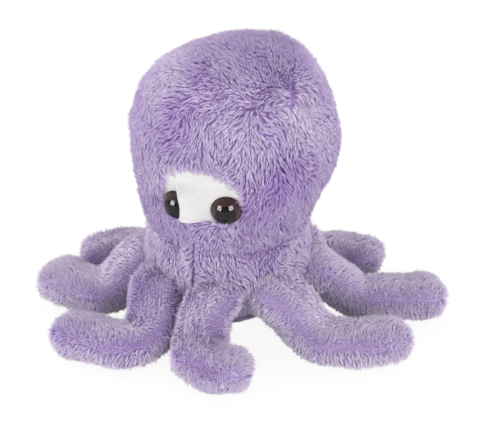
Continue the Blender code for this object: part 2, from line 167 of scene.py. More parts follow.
def smooth_line(knots: Array, count: int) -> Array:
    """Draws a smooth line through knots and reads it at even spacing.

    Args:
        knots: The (radius, height) points that the line passes through.
        count: How many points to give.

    Returns:
        The line's points, ends included.
    """
    chord = np.concatenate([[0], np.cumsum(np.linalg.norm(np.diff(knots, axis=0), axis=1))])
    slope = np.gradient(knots, chord, axis=0)
    steps = 24
    fine = np.linspace(0, chord[-1], steps * len(knots))
    i = np.clip(np.searchsorted(chord, fine, side="right") - 1, 0, len(knots) - 2)
    span = (chord[i + 1] - chord[i])[:, None]
    t = (fine - chord[i])[:, None] / span
    line = (2 * t**3 - 3 * t**2 + 1) * knots[i] + (3 * t**2 - 2 * t**3) * knots[i + 1]
    line += (t**3 - 2 * t**2 + t) * span * slope[i] + (t**3 - t**2) * span * slope[i + 1]
    run = np.concatenate([[0], np.cumsum(np.linalg.norm(np.diff(line, axis=0), axis=1))])
    even = np.linspace(0, run[-1], count)
    return np.stack([np.interp(even, run, line[:, 0]), np.interp(even, run, line[:, 1])], axis=-1)


def sunk(line: Array, depth: float) -> Array:
    """Moves a (radius, height) line that runs upwards inward by a depth.

    Args:
        line: The (radius, height) points.
        depth: How far inward it moves.

    Returns:
        The moved line, which stays on its side of the axis.
    """
    along = unit(np.gradient(line, axis=0))
    moved = line - np.stack([along[:, 1], -along[:, 0]], axis=-1) * depth
    moved[:, 0] = np.maximum(moved[:, 0], 0)
    return moved


def closed_mesh(name: str, rings: Array) -> Mesh:
    """Skins a row of rings and closes both ends.

    Args:
        name: The mesh's name.
        rings: Points, by ring and then round each ring.

    Returns:
        A closed mesh whose faces point outwards.
    """
    rows, around = rings.shape[:2]
    points = np.concatenate([rings.reshape(-1, 3), rings[0].mean(0)[None], rings[-1].mean(0)[None]])
    faces = []
    for j in range(around):
        after = (j + 1) % around
        for i in range(rows - 1):
            low, high = i * around, (i + 1) * around
            faces.append((low + j, low + after, high + after, high + j))
        last = (rows - 1) * around
        faces += [(after, j, rows * around), (last + j, last + after, rows * around + 1)]
    mesh = bpy.data.meshes.new(name)
    mesh.from_pydata(points.tolist(), [], faces)
    shape = bmesh.new()
    shape.from_mesh(mesh)
    bmesh.ops.remove_doubles(shape, verts=shape.verts, dist=0.00001)
    if shape.calc_volume(signed=True) < 0:
        bmesh.ops.reverse_faces(shape, faces=shape.faces)
    shape.to_mesh(mesh)
    shape.free()
    return mesh


def trimmed(mesh: Mesh, planes: list[tuple[Array, Array]]) -> Mesh:
    """Copies a mesh and cuts away what lies beyond some planes.

    Args:
        mesh: The closed cover to cut a panel from.
        planes: Each a point and the normal of the side that is cut away.

    Returns:
        The panel, open along its cuts.
    """
    shape = bmesh.new()
    shape.from_mesh(mesh)
    for point, normal in planes:
        parts = [*shape.verts, *shape.edges, *shape.faces]
        bmesh.ops.bisect_plane(
            shape, geom=parts, plane_co=Vector(point), plane_no=Vector(normal), clear_outer=True
        )
    panel = bpy.data.meshes.new(mesh.name + "_panel")
    shape.to_mesh(panel)
    shape.free()
    return panel


def both_sides(point: Array, normal: Array) -> tuple[tuple, tuple]:
    """Gives the planes that leave what lies before and beyond a seam, with a hairline gap between.

    Args:
        point: A point on the seam's plane.
        normal: The plane's normal.

    Returns:
        The plane to trim the part before the seam with, and the one for the part beyond it.
    """
    gap = normal * HALF_SEAM_GAP
    return (point - gap, normal), (point + gap, -normal)


def add_object(name: str, mesh: Mesh) -> Object:
    """Links a mesh to the scene as an object at the origin.

    Args:
        name: The object's name.
        mesh: Its mesh.

    Returns:
        The object.
    """
    piece = bpy.data.objects.new(name, mesh)
    bpy.context.scene.collection.objects.link(piece)
    return piece


def select_only(piece: Object) -> None:
    """Deselects everything, then selects and activates one object.

    Args:
        piece: The object that stays selected.
    """
    bpy.ops.object.select_all(action="DESELECT")
    piece.select_set(True)
    bpy.context.view_layer.objects.active = piece


def apply_all(piece: Object) -> None:
    """Applies every modifier of an object.

    Args:
        piece: The object, which keeps the result as its mesh.
    """
    select_only(piece)
    for modifier in list(piece.modifiers):
        bpy.ops.object.modifier_apply(modifier=modifier.name)


def settle(piece: Object) -> None:
    """Moves an object's place and turn into its mesh."""
    select_only(piece)
    bpy.ops.object.transform_apply(location=True, rotation=True, scale=True)


def added(operator: Callable, **settings: object) -> Object:
    """Adds a primitive.

    Args:
        operator: The operator that adds it.
        **settings: What the operator takes.

    Returns:
        The primitive, with its place and turn moved into its mesh.
    """
    bpy.ops.object.select_all(action="DESELECT")
    operator(**settings)
    piece = bpy.context.object
    settle(piece)
    return piece


def padding(name: str, mesh: Mesh, wadding: Material) -> Object:
    """Makes a piece of wadding.

    Args:
        name: The piece's name.
        mesh: Its closed surface.
        wadding: Its finish.

    Returns:
        The piece.
    """
    pad = add_object(name, mesh)
    pad.data.shade_smooth()
    pad.data.materials.append(wadding)
    return pad


def read(items: bpy.types.bpy_prop_collection, key: str, width: int = 1, kind: type = np.float32) -> Array:
    """Reads one property of many items.

    Args:
        items: A mesh's vertices, loops, triangles or faces.
        key: The property's name.
        width: How many numbers each item has.
        kind: The numbers' type.

    Returns:
        The numbers, with a row for each item if it has more than one.
    """
    values = np.empty(len(items) * width, kind)
    items.foreach_get(key, values)
    return values.reshape(-1, width) if width > 1 else values


def walled(mesh: Mesh, thickness: float) -> Object:
    """Gives a sheet a wall on its inner side.

    Args:
        mesh: The outer surface.
        thickness: How far inward the wall goes.

    Returns:
        The closed shell.
    """
    piece = add_object(mesh.name + "_shell", mesh)
    wall = piece.modifiers.new("wall", "SOLIDIFY")
    wall.thickness = thickness
    wall.offset = -1
    apply_all(piece)
    return piece


def combine(piece: Object, other: Object, operation: str) -> None:
    """Combines one closed object with another by a Boolean, and removes the other.

    Args:
        piece: The object that is kept.
        other: The object that is used up.
        operation: DIFFERENCE, INTERSECT or UNION.
    """
    step = piece.modifiers.new("combine", "BOOLEAN")
    step.operation = operation
    step.solver = "EXACT"
    step.object = other
    apply_all(piece)
    bpy.data.objects.remove(other)


class Value:
    """A number that varies over a surface, so that shader maths reads as Python."""

    def __init__(self, shader: "Shader", socket: NodeSocket) -> None:
        """Wraps an output socket of the shader's tree."""
        self.shader = shader
        self.socket = socket

    def _combine(self, operation: str, first: object, second: object) -> "Value":
        """Adds a Math node.

        Args:
            operation: The node's operation.
            first: A value or a number.
            second: A value or a number.

        Returns:
            The node's result.
        """
        node = self.shader.node("ShaderNodeMath", {"operation": operation}, {0: first, 1: second})
        return Value(self.shader, node.outputs[0])

    def __add__(self, other: object) -> "Value":
        """Adds."""
        return self._combine("ADD", self, other)

    __radd__ = __add__

    def __mul__(self, other: object) -> "Value":
        """Multiplies."""
        return self._combine("MULTIPLY", self, other)

    __rmul__ = __mul__

    def __sub__(self, other: object) -> "Value":
        """Subtracts a value or a number."""
        return self._combine("SUBTRACT", self, other)

    def __rsub__(self, other: object) -> "Value":
        """Is subtracted from a number."""
        return self._combine("SUBTRACT", other, self)

    def peak(self, other: object) -> "Value":
        """Takes the larger of two values."""
        return self._combine("MAXIMUM", self, other)


class Shader:
    """A material's or the world's node tree, built from nothing."""

    def __init__(self, owner: bpy.types.ID, output: str = "ShaderNodeOutputMaterial") -> None:
        """Clears the owner's tree and adds its output node.

        Args:
            owner: The material or the world.
            output: The kind of its output node.
        """
        owner.use_nodes = True
        self.tree = owner.node_tree
        self.tree.nodes.clear()
        self.output = self.tree.nodes.new(output)

    def node(self, kind: str, settings: dict | None = None, sockets: dict | None = None) -> bpy.types.Node:
        """Adds a node.

        Args:
            kind: The node's type.
            settings: Its properties, set first; "stops" gives a ramp's (place, colour) pairs.
            sockets: A value or a link for each input, by its name or number.

        Returns:
            The node.
        """
        made = self.tree.nodes.new(kind)
        for key, value in (settings or {}).items():
            if key == "stops":
                while len(made.color_ramp.elements) < len(value):
                    made.color_ramp.elements.new(0.5)
                for stop, (place, colour) in zip(made.color_ramp.elements, value):
                    stop.position = place
                    stop.color = (*colour, 1)
            else:
                setattr(made, key, value)
        for key, value in (sockets or {}).items():
            if isinstance(value, Value):
                self.tree.links.new(value.socket, made.inputs[key])
            elif isinstance(value, NodeSocket):
                self.tree.links.new(value, made.inputs[key])
            else:
                made.inputs[key].default_value = value
        return made

    def close(self, kind: str, sockets: dict) -> None:
        """Adds the last node and links it to the output."""
        self.tree.links.new(self.node(kind, None, sockets).outputs[0], self.output.inputs[0])

    def noise(self, scale: float, detail: float = 3) -> Value:
        """Reads even noise in object coordinates.

        Args:
            scale: How fine the noise is.
            detail: How many finer layers it has.

        Returns:
            The noise, from 0 to 1.
        """
        place = self.node("ShaderNodeTexCoord")
        sockets = {"Vector": place.outputs["Object"], "Scale": scale, "Detail": detail}
        return Value(self, self.node("ShaderNodeTexNoise", None, sockets).outputs[0])

    def ramp(self, value: Value, stops: tuple) -> NodeSocket:
        """Turns a value into a colour through a row of stops."""
        return self.node("ShaderNodeValToRGB", {"stops": stops}, {0: value}).outputs[0]

    def mixed(self, factor: Value, first: NodeSocket, second: NodeSocket) -> NodeSocket:
        """Mixes two colours by a factor."""
        sockets = {"Factor": factor, MIX_FIRST: first, MIX_SECOND: second}
        return self.node("ShaderNodeMix", {"data_type": "RGBA"}, sockets).outputs[MIX_RESULT]

    def bumped(self, height: Value, strength: float, distance: float) -> NodeSocket:
        """Turns a height into a bumped normal."""
        sockets = {"Height": height, "Strength": strength, "Distance": distance}
        return self.node("ShaderNodeBump", None, sockets).outputs[0]


@dataclass(frozen=True)
class PlushFinish:
    """Long pile that is deep violet at its roots and pale lilac at its tips, read from the pile's own map.
    The deep roots are partly the pile's own colour and partly painted shade between the strands.
    """

    name: str = "lilac_pile"
    deep: tuple = ((0.0, (0.190, 0.080, 0.380)), (0.50, (0.430, 0.250, 0.680)), (1.0, (0.780, 0.620, 0.950)))
    pale: tuple = ((0.0, (0.420, 0.270, 0.600)), (0.50, (0.830, 0.725, 0.925)), (1.0, (0.980, 0.930, 0.995)))

    def build(self) -> Material:
        """Makes the material, whose map runs from deep to pale and from root to tip.

        Returns:
            The material.
        """
        made = bpy.data.materials.new(self.name)
        shader = Shader(made)
        place = shader.node("ShaderNodeUVMap", {"uv_map": PILE_MAP})
        split = shader.node("ShaderNodeSeparateXYZ", None, {0: place.outputs[0]})
        tint, along = Value(shader, split.outputs[0]), Value(shader, split.outputs[1])
        colour = shader.mixed(tint, shader.ramp(along, self.deep), shader.ramp(along, self.pale))
        sockets = {"Base Color": colour, "Roughness": 0.95 - along * 0.25, "Sheen Weight": 0.08}
        sockets["Sheen Tint"] = (0.85, 0.75, 1.0, 1)
        sockets["Specular IOR Level"] = 0.08
        shader.close("ShaderNodeBsdfPrincipled", sockets)
        return made


@dataclass(frozen=True)
class VelourFinish:
    """Short white velour with a fine grain."""

    name: str = "white_velour"
    shade: tuple = (0.59, 0.585, 0.575)
    light: tuple = (0.65, 0.645, 0.635)

    def build(self) -> Material:
        """Makes the material.

        Returns:
            The material.
        """
        made = bpy.data.materials.new(self.name)
        shader = Shader(made)
        grain = shader.noise(1800, 4)
        drift = shader.noise(140, 2)
        colour = shader.ramp(grain * 0.6 + drift * 0.4, ((0.30, self.shade), (0.62, self.light)))
        sockets = {"Base Color": colour, "Roughness": 0.85 + grain * 0.12, "Sheen Weight": 0.15}
        sockets["Specular IOR Level"] = 0.1
        sockets["Normal"] = shader.bumped(grain + drift * 1.5, 0.5, 0.00025)
        shader.close("ShaderNodeBsdfPrincipled", sockets)
        return made


@dataclass(frozen=True)
class ResinFinish:
    """Polished cast resin, with a faint cloud in its colour."""

    name: str
    dark: tuple
    light: tuple
    roughness: float = 0.06

    def build(self) -> Material:
        """Makes the material.

        Returns:
            The material.
        """
        made = bpy.data.materials.new(self.name)
        shader = Shader(made)
        cloud = shader.noise(420, 3)
        colour = shader.ramp(cloud, ((0.35, self.dark), (0.70, self.light)))
        sockets = {"Base Color": colour, "Roughness": self.roughness + cloud * 0.05, "Coat Weight": 0.1}
        sockets["Coat Roughness"] = 0.04
        sockets["IOR"] = 1.36
        shader.close("ShaderNodeBsdfPrincipled", sockets)
        return made


@dataclass(frozen=True)
class FibreFinish:
    """Loose white wadding, or the matt nylon of a washer, according to its scale."""

    name: str
    scale: float = 300
    depth: float = 0.0006
    dark: tuple = (0.70, 0.70, 0.68)
    light: tuple = (0.86, 0.86, 0.84)

    def build(self) -> Material:
        """Makes the material.

        Returns:
            The material.
        """
        made = bpy.data.materials.new(self.name)
        shader = Shader(made)
        fibres = shader.noise(self.scale, 6)
        colour = shader.ramp(fibres, ((0.35, self.dark), (0.65, self.light)))
        sockets = {"Base Color": colour, "Roughness": 0.75 + fibres * 0.2}
        sockets["Normal"] = shader.bumped(fibres, 0.6, self.depth)
        shader.close("ShaderNodeBsdfPrincipled", sockets)
        return made


@dataclass
class Nap:
    """How the pile lies at each strand.

    flow is a unit vector in the surface, lean the angle from upright, tint 0 for deep and 1 for pale,
    length a share of the pile's own, and kept the share of the strands that grow.
    """

    flow: Array
    lean: Array
    tint: Array
    length: Array
    kept: Array

    def __post_init__(self) -> None:
        """Keeps the tint within its range."""
        self.tint = np.clip(self.tint, *TINT_RANGE)


@dataclass(frozen=True)
class PaintedLightPatch:
    """A soft patch where the pile was stroked another way: painted light for an amount above zero, painted
    shade below.
    """

    place: tuple
    radius: float
    amount: float


@dataclass(frozen=True)
class Swell:
    """A place where the stuffing pushes a cloth out."""

    place: tuple
    radius: float
    height: float


@dataclass(frozen=True)
class Fold:
    """A fold of the face's cloth that laps over the inner side of an eye.

    Its edge lies at the places in edges, at the heights in rows, and softens by ease above soft_from.
    """

    place: tuple
    rows: tuple = (-0.0036, -0.0015, 0.0024, 0.0050, 0.0077, 0.0103)
    edges: tuple = (0.0014, 0.0024, 0.0029, 0.0027, 0.0008, -0.0003)
    height: float = 0.0052
    reach: float = 0.0070
    rise: tuple = (-0.0004, 0.0008)
    fade: tuple = (0.0060, 0.0110)
    soft_from: float = 0.0050
    ease: float = 0.6

    def lift(self, points: Array) -> Array:
        """Gives how far the cloth rises at some places: steeply beside the eye, and then easing away.

        Args:
            points: Places on the plain cloth.

        Returns:
            How far each place rises.
        """
        level, height = points[..., 0] - self.place[0], points[..., 2] - self.place[2]
        beyond = level - np.interp(height, self.rows, self.edges)
        soft = self.ease * np.maximum(height - self.soft_from, 0)
        low = 1 - smoothstep(height, *self.fade)
        far = np.maximum(level - max(self.edges), 0)
        rise = smoothstep(beyond, self.rise[0] - soft, self.rise[1] + soft)
        return self.height * rise * low * bell(far, self.reach)


@dataclass(frozen=True)
class Pile:
    """How densely fur grows, how long and thick its strands are, and how they gather into wisps.

    A spread gives how much wisps differ, and then how much the strands of a wisp do. An edge value is what
    changes at a wisp's outer strands; the deeper tint there is painted shade in the gaps between wisps.
    """

    strands: float = 5.1e6
    wisps: float = 0.80e6
    length: float = 0.0042
    width: float = 0.00015
    root_depth: float = 0.0002
    bend: float = 0.28
    stretch: float = 0.40
    gather: float = 0.52
    belly_gather: float = 0.6
    reach: float = 0.0005
    deep_lean: float = 0.7
    lean_range: tuple = (0.05, 1.45)
    lean_spread: tuple = (0.10, 0.07)
    swing_spread: tuple = (0.16, 0.08)
    tint_spread: tuple = (0.07, 0.22)
    wisp_lengths: tuple = (0.80, 1.12)
    lengths: tuple = (0.82, 1.08)
    widths: tuple = (0.75, 1.20)
    edge_lean: float = 0.06
    edge_length: float = 0.10
    # Painted shade: how much deeper a wisp's outer strands are tinted.
    edge_tint: float = 0.12
    tile: float = 0.008
    batch: int = 3000

    def scattered(self, mesh: Mesh, density: float, rng: np.random.Generator) -> tuple[Array, Array]:
        """Scatters places evenly over a surface.

        Args:
            mesh: The cloth's outer surface.
            density: How many places there are to a square metre.
            rng: The source of chance.

        Returns:
            The places and the surface's normals there.
        """
        mesh.calc_loop_triangles()
        corners = read(mesh.loop_triangles, "vertices", 3, np.int32)
        points = read(mesh.vertices, "co", 3)[corners].astype(float)
        normals = read(mesh.vertices, "normal", 3)[corners]
        sides = np.cross(points[:, 1] - points[:, 0], points[:, 2] - points[:, 0])
        ends = np.cumsum(np.linalg.norm(sides, axis=1) / 2)
        count = int(ends[-1] * density)
        at = (np.arange(count) + rng.random(count)) * ends[-1] / count
        index = np.clip(np.searchsorted(ends, at), 0, len(ends) - 1)
        share = rng.random((count, 2))
        share = np.where(share.sum(1, keepdims=True) > 1, 1 - share, share)
        weights = np.column_stack([1 - share.sum(1), share])[:, :, None]
        return (points[index] * weights).sum(1), unit((normals[index] * weights).sum(1))

    def wisp_of(self, roots: Array, flow: Array, wisps: Array) -> Array:
        """Finds each strand's wisp: the nearest, where distance along the pile counts for less.

        Args:
            roots: The strands' places.
            flow: The way the pile lies there.
            wisps: The wisps' places.

        Returns:
            The number of each strand's wisp.
        """
        order = roots[:, 2].argsort()
        found = np.empty(len(roots), int)
        for part in np.array_split(order, len(roots) // self.batch + 1):
            low, high = roots[part[[0, -1]], 2]
            near = np.flatnonzero((wisps[:, 2] > low - self.length) & (wisps[:, 2] < high + self.length))
            apart = (wisps[near] ** 2).sum(1) - 2 * roots[part] @ wisps[near].T
            along = dot(roots[part], flow[part]) - flow[part] @ wisps[near].T
            found[part] = near[(apart - (1 - self.stretch**2) * along**2).argmin(1)]
        return found

    def grown(self, panel: Mesh, cover: "SoftCover", rng: np.random.Generator) -> tuple[Array, Array]:
        """Grows a panel's strands, each a closed three-sided spindle with one bend.

        Args:
            panel: The cloth's outer surface.
            cover: What tells how the pile lies.
            rng: The source of chance.

        Returns:
            Five points and five map places for each strand.
        """
        roots, normals = self.scattered(panel, self.strands, rng)
        nap = cover.nap(roots, normals)
        kept = rng.random(len(roots)) < nap.kept
        roots, normals = roots[kept], normals[kept]
        nap = Nap(*(getattr(nap, field.name)[kept] for field in fields(Nap)))
        wisps, _ = self.scattered(panel, self.wisps, rng)
        index = self.wisp_of(roots, nap.flow, wisps)
        whole, own = (len(wisps), 1), (len(roots), 1)

        def strayed(spread: tuple) -> Array:
            """Draws how far each strand strays, with its wisp and on its own."""
            return rng.normal(0, spread[0], whole)[index] + rng.normal(0, spread[1], own)

        across = np.cross(normals, nap.flow)
        pull = dot(wisps[index] - roots, across)
        edge = np.clip(np.abs(pull) / self.reach, 0, 1)
        deep = nap.tint[:, None] - cover.paleness
        lean = nap.lean[:, None] + self.deep_lean * deep + self.edge_lean * edge
        lean = np.clip(lean + strayed(self.lean_spread), *self.lean_range)
        swing = strayed(self.swing_spread)
        heading = nap.flow * np.cos(swing) + across * np.sin(swing)
        length = self.length * nap.length[:, None] * rng.uniform(*self.wisp_lengths, whole)[index]
        length = length * rng.uniform(*self.lengths, own) * (1 - self.edge_length * edge)
        low, high = lean * (1 - self.bend), lean * (1 + self.bend)
        foot = roots - normals * self.root_depth
        middle = foot + (normals * np.cos(low) + heading * np.sin(low)) * length / 2
        tip = middle + (normals * np.cos(high) + heading * np.sin(high)) * length / 2
        middle += across * pull * self.gather * self.belly_gather
        tip += across * pull * self.gather
        foot[:, 2] = np.maximum(foot[:, 2], FLOOR_CLEARANCE)
        middle[:, 2] = np.maximum(middle[:, 2], FLOOR_CLEARANCE + self.width)
        tip[:, 2] = np.maximum(tip[:, 2], FLOOR_CLEARANCE)
        axis = unit(tip - foot)
        first = unit(np.cross(axis, unit(rng.normal(size=axis.shape))))
        second = np.cross(axis, first)
        width = self.width * rng.uniform(*self.widths, own)
        turns = (0, math.tau / 3, 2 * math.tau / 3)
        ring = [middle + (first * math.cos(turn) + second * math.sin(turn)) * width for turn in turns]
        # Painted shade: outer strands of each wisp are tinted deeper.
        tint = nap.tint[:, None] + strayed(self.tint_spread) - self.edge_tint * edge
        # Each point's shift across its tile, and its place from root to tip
        offsets = np.array([(0, cover.foot_tone), (-1, 0.50), (0, 0.48), (1, 0.50), (0, 0.985)])
        places = np.empty((len(roots), 5, 2))
        places[:, :, 0] = np.clip(np.clip(tint, 0.02, 0.98) + offsets[:, 0] * self.tile, 0.001, 0.999)
        places[:, :, 1] = offsets[:, 1]
        return np.stack([foot, *ring, tip], axis=1), places


# Corners of a strand's faces: its foot is point 0, its belly 1 to 3, and its tip 4
STRAND_FACES = ((0, 2, 1), (0, 3, 2), (0, 1, 3), (1, 2, 4), (2, 3, 4), (3, 1, 4))


def furred(name: str, shell: Object, tints: Array, tone: float, points: Array, places: Array) -> Object:
    """Joins a cloth shell and its strands into one mesh with the pile's map.

    Args:
        name: The finished piece's name.
        shell: The cloth, which is used up.
        tints: The pile's tint at each of the shell's faces.
        tone: Where the cloth reads from root to tip.
        points: The strands' points.
        places: The strands' places on the map.

    Returns:
        The finished piece.
    """
    cloth = shell.data
    total = len(cloth.vertices)
    ground = read(cloth.vertices, "co", 3)
    corners = read(cloth.loops, "vertex_index", kind=np.int32)
    sizes = read(cloth.polygons, "loop_total", kind=np.int32)
    turn = np.concatenate([np.arange(size) * math.tau / size for size in sizes])
    tiles = np.column_stack([np.repeat(tints, sizes), np.full(len(turn), tone)])
    tiles += np.column_stack([np.cos(turn), np.sin(turn)]) * 0.012
    pattern = np.concatenate([np.array(face) for face in STRAND_FACES])
    count = len(points)
    strand_corners = (np.arange(count)[:, None] * points.shape[1] + pattern + total).reshape(-1)
    strand_sizes = np.tile([len(face) for face in STRAND_FACES], count)
    all_corners = np.concatenate([corners, strand_corners]).astype(np.int32)
    all_sizes = np.concatenate([sizes, strand_sizes]).astype(np.int32)
    mesh = bpy.data.meshes.new(name)
    mesh.vertices.add(total + count * points.shape[1])
    ground = np.concatenate([ground, points.reshape(-1, 3)])
    mesh.vertices.foreach_set("co", ground.reshape(-1).astype(np.float32))
    mesh.loops.add(len(all_corners))
    mesh.loops.foreach_set("vertex_index", all_corners)
    mesh.polygons.add(len(all_sizes))
    starts = np.concatenate([[0], np.cumsum(all_sizes)[:-1]]).astype(np.int32)
    mesh.polygons.foreach_set("loop_start", starts)
    mesh.update(calc_edges=True)
    layer = mesh.uv_layers.new(name=PILE_MAP)
    tiles = np.concatenate([tiles, places[:, pattern].reshape(-1, 2)])
    layer.uv.foreach_set("vector", tiles.reshape(-1).astype(np.float32))
    mesh.shade_smooth()
    bpy.data.objects.remove(shell)
    return add_object(name, mesh)


class SoftCover:
    """What the furred sub-assemblies share: how a walled panel and its pile become one piece.

    Paleness is the pile's usual tint, and foot_tone where its roots read from root to tip.
    """

    pile = Pile()
    seed = 1
    paleness = 0.48
    foot_tone = 0.03
    tint_waves = ((0.10, 0.022, 11), (0.05, 0.008, 12))
    # The cloth under the pile reads deeper than the pile: partly its own colour, partly painted shade between
    # the strands.
    cloth_tint_share = 0.8

    def nap(self, points: Array, normals: Array) -> Nap:
        """Tells how the pile lies at some places. Each sub-assembly has its own."""
        raise NotImplementedError

    def tinted(self, points: Array, marks: tuple) -> Array:
        """Gives the pile's tint: an even middle, a slow drift, and the patches of painted light and shade.

        Args:
            points: The places to read.
            marks: The patches of painted light and shade, as paler or deeper pile.

        Returns:
            One number for each point, from 0 for deep to 1 for pale.
        """
        tint = self.paleness + ripples(points, self.tint_waves)
        for mark in marks:
            # Painted light and shade: each patch makes the pile paler or deeper around its place.
            tint = tint + mark.amount * bell(apart(points, mark.place), mark.radius)
        return np.clip(tint, *TINT_RANGE)

    def finished(self, name: str, panel: Mesh, material: Material, cutters: tuple = ()) -> Object:
        """Makes a furred piece from a panel.

        Args:
            name: The piece's name.
            panel: The panel's outer surface.
            material: The pile's finish.
            cutters: Objects whose room is cut out of the cloth, which are used up.

        Returns:
            The piece.
        """
        rng = np.random.default_rng(self.seed + sum(map(ord, name)))
        points, places = self.pile.grown(panel, self, rng)
        shell = walled(panel, CLOTH_THICKNESS)
        for cutter in cutters:
            combine(shell, cutter, "DIFFERENCE")
        centres, facing = (read(shell.data.polygons, key, 3).astype(float) for key in ("center", "normal"))
        tints = self.nap(centres, facing).tint
        # The cloth is tinted deeper and read near the roots, partly as painted shade between the strands.
        piece = furred(name, shell, tints * self.cloth_tint_share, self.foot_tone / 2 + 0.10, points, places)
        piece.data.materials.append(material)
        LOG.info("%s: %d strands, %d faces", name, len(points), len(piece.data.polygons))
        return piece


def declare(piece: Object, body: str, *nodes: str) -> None:
    """Says which body a piece rides on, and which CAD nodes it stands for.

    Args:
        piece: The finished piece.
        body: The body that carries it.
        *nodes: The CAD nodes that it stands for.
    """
    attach(piece, body)
    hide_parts(*nodes)


@dataclass
class Head(SoftCover):
    """The leaning head: four furred panels, the velour face patch and the wadding."""

    radius: float = 0.0418
    height: float = 0.0787
    lean_share: float = 0.055
    lean_bearing: float = math.radians(108)
    outline: tuple = (
        (0.850, 0.090),
        (0.945, 0.235),
        (1.000, 0.430),
        (0.978, 0.610),
        (0.862, 0.790),
        (0.715, 0.880),
        (0.500, 0.946),
        (0.260, 0.986),
    )
    crown_height: float = 0.1025
    crown_tilt: float = math.radians(11)
    crown_bearing: float = math.radians(20)
    top_facing: float = math.radians(108)
    top_offset: float = 0.021
    seam_depth: float = 0.0002
    seam_reach: float = 0.0010
    patch_recess: float = 0.0008
    patch_half_width: float = 0.0165
    patch_half_height: float = 0.0112
    patch_height: float = 0.0744
    squareness: float = 2.2
    patch_turn: float = math.radians(5)
    patch_gap: float = 0.0001
    patch_rings: int = 80
    patch_steps: int = 200
    bulge_waves: tuple = ((0.0006, 0.030, 21), (0.00025, 0.013, 22))
    whorl: tuple = (0.0169, -0.0305, 0.1115)
    whorl_reach: float = 0.035
    hang_reach: float = 0.020
    left_flow: tuple = (-0.8, -0.45, 0.0)
    left_fan: float = 0.3
    right_flow: tuple = (0.7, 0.3, -0.5)
    swing_waves: tuple = ((0.50, 0.016, 31), (0.25, 0.006, 32))
    top_parting: float = 0.1
    top_parting_reach: float = 0.0008
    crown_parting: float = 1.4
    crown_parting_reach: float = 0.0025
    parting_share: float = 0.5
    lap_reach: float = 0.0022
    lap_pull: float = 1.6
    lean_angle: float = 1.02
    lean_waves: tuple = ((0.10, 0.012, 33),)
    crown_lean: float = -0.40
    chin_lean: float = -0.45
    brow_lean: float = 0.16
    tuck_lean: float = 0.40
    top_lean: float = -0.50
    top_lean_reach: float = 0.0045
    # Painted shade: the pile is tinted deeper along the crown's seams.
    seam_tint: float = -0.06
    crown_length: float = -0.12
    length_waves: tuple = ((0.08, 0.010, 34),)
    chin_length: float = 0.525
    brow_length: float = 0.385
    tuck_length: float = 0.35
    neck_length: float = -0.14
    tuck: tuple = (-0.0150, -0.0350, 0.0625)
    tuck_reach: float = 0.004
    fold: Fold = Fold((-0.0089, 0, 0.0682))
    lumps: tuple = (
        Swell((-0.0160, 0.0105, 0.1190), 0.022, -0.0021),
        Swell((0.0156, 0.0219, 0.1178), 0.014, 0.0014),
        Swell((0.0335, 0.0190, 0.1060), 0.016, -0.0017),
        Swell((-0.0337, -0.0015, 0.1034), 0.012, 0.0011),
        Swell((0.0413, 0.0065, 0.0750), 0.014, 0.0012),
        Swell((0.0340, 0.0110, 0.0550), 0.009, -0.0022),
    )
    # Painted light and shade: paler and deeper patches where the head's pile catches more or less light.
    marks: tuple = (
        PaintedLightPatch((-0.021, -0.023, 0.112), 0.011, 0.36),
        PaintedLightPatch((-0.013, -0.017, 0.119), 0.009, 0.26),
        PaintedLightPatch((0.038, -0.015, 0.104), 0.008, 0.36),
        PaintedLightPatch((0.042, -0.011, 0.093), 0.010, 0.36),
        PaintedLightPatch((0.036, -0.022, 0.099), 0.007, 0.29),
        PaintedLightPatch((0.029, -0.022, 0.108), 0.005, 0.47),
        PaintedLightPatch((-0.009, -0.036, 0.102), 0.008, -0.34),
        PaintedLightPatch((-0.014, -0.036, 0.094), 0.007, -0.26),
        PaintedLightPatch((0.032, -0.028, 0.079), 0.008, -0.54),
        PaintedLightPatch((0.027, -0.031, 0.075), 0.007, -0.38),
        PaintedLightPatch((0.035, -0.024, 0.086), 0.007, -0.31),
        PaintedLightPatch((-0.006, -0.017, 0.121), 0.008, -0.21),
        PaintedLightPatch((-0.020, -0.031, 0.105), 0.007, -0.23),
        PaintedLightPatch((0.030, 0.004, 0.118), 0.009, -0.21),
        PaintedLightPatch((-0.022, -0.033, 0.077), 0.008, 0.34),
        PaintedLightPatch((-0.012, -0.039, 0.084), 0.005, 0.31),
        PaintedLightPatch((0.013, -0.038, 0.098), 0.012, 0.28),
        PaintedLightPatch((0.035, -0.018, 0.100), 0.012, 0.14),
        PaintedLightPatch((0.010, 0.000, 0.124), 0.016, -0.14),
        PaintedLightPatch((0.030, -0.013, 0.049), 0.006, 0.39),
    )
    seed: int = 3

    def __post_init__(self) -> None:
        """Works out the outline, the seams' planes and the patch's middle."""
        rows = [(NECK_RADIUS, NECK_HEIGHT)]
        rows += [(r * self.radius, NECK_HEIGHT + z * self.height) for r, z in self.outline]
        rows += [(0, NECK_HEIGHT + self.height), (-rows[-1][0], rows[-1][1])]
        line = smooth_line(np.array(rows), 120)
        self.line = line[line[:, 0] > 0]
        tilt = on_bearing(self.crown_bearing, -math.sin(self.crown_tilt), math.cos(self.crown_tilt))
        self.crown = (np.array((0, 0, self.crown_height)), tilt)
        top = self.lean(self.crown_height) + on_bearing(self.top_facing, self.top_offset, 0)
        self.top = (top, on_bearing(self.top_facing, 1, 0))
        self.patch_middle = self.lean(self.patch_height) + (0, 0, self.patch_height)

    def lean(self, height: float) -> Array:
        """Gives how far the head's middle has leaned sideways at a height."""
        return on_bearing(self.lean_bearing, self.lean_share * (np.asarray(height) - NECK_HEIGHT), 0)

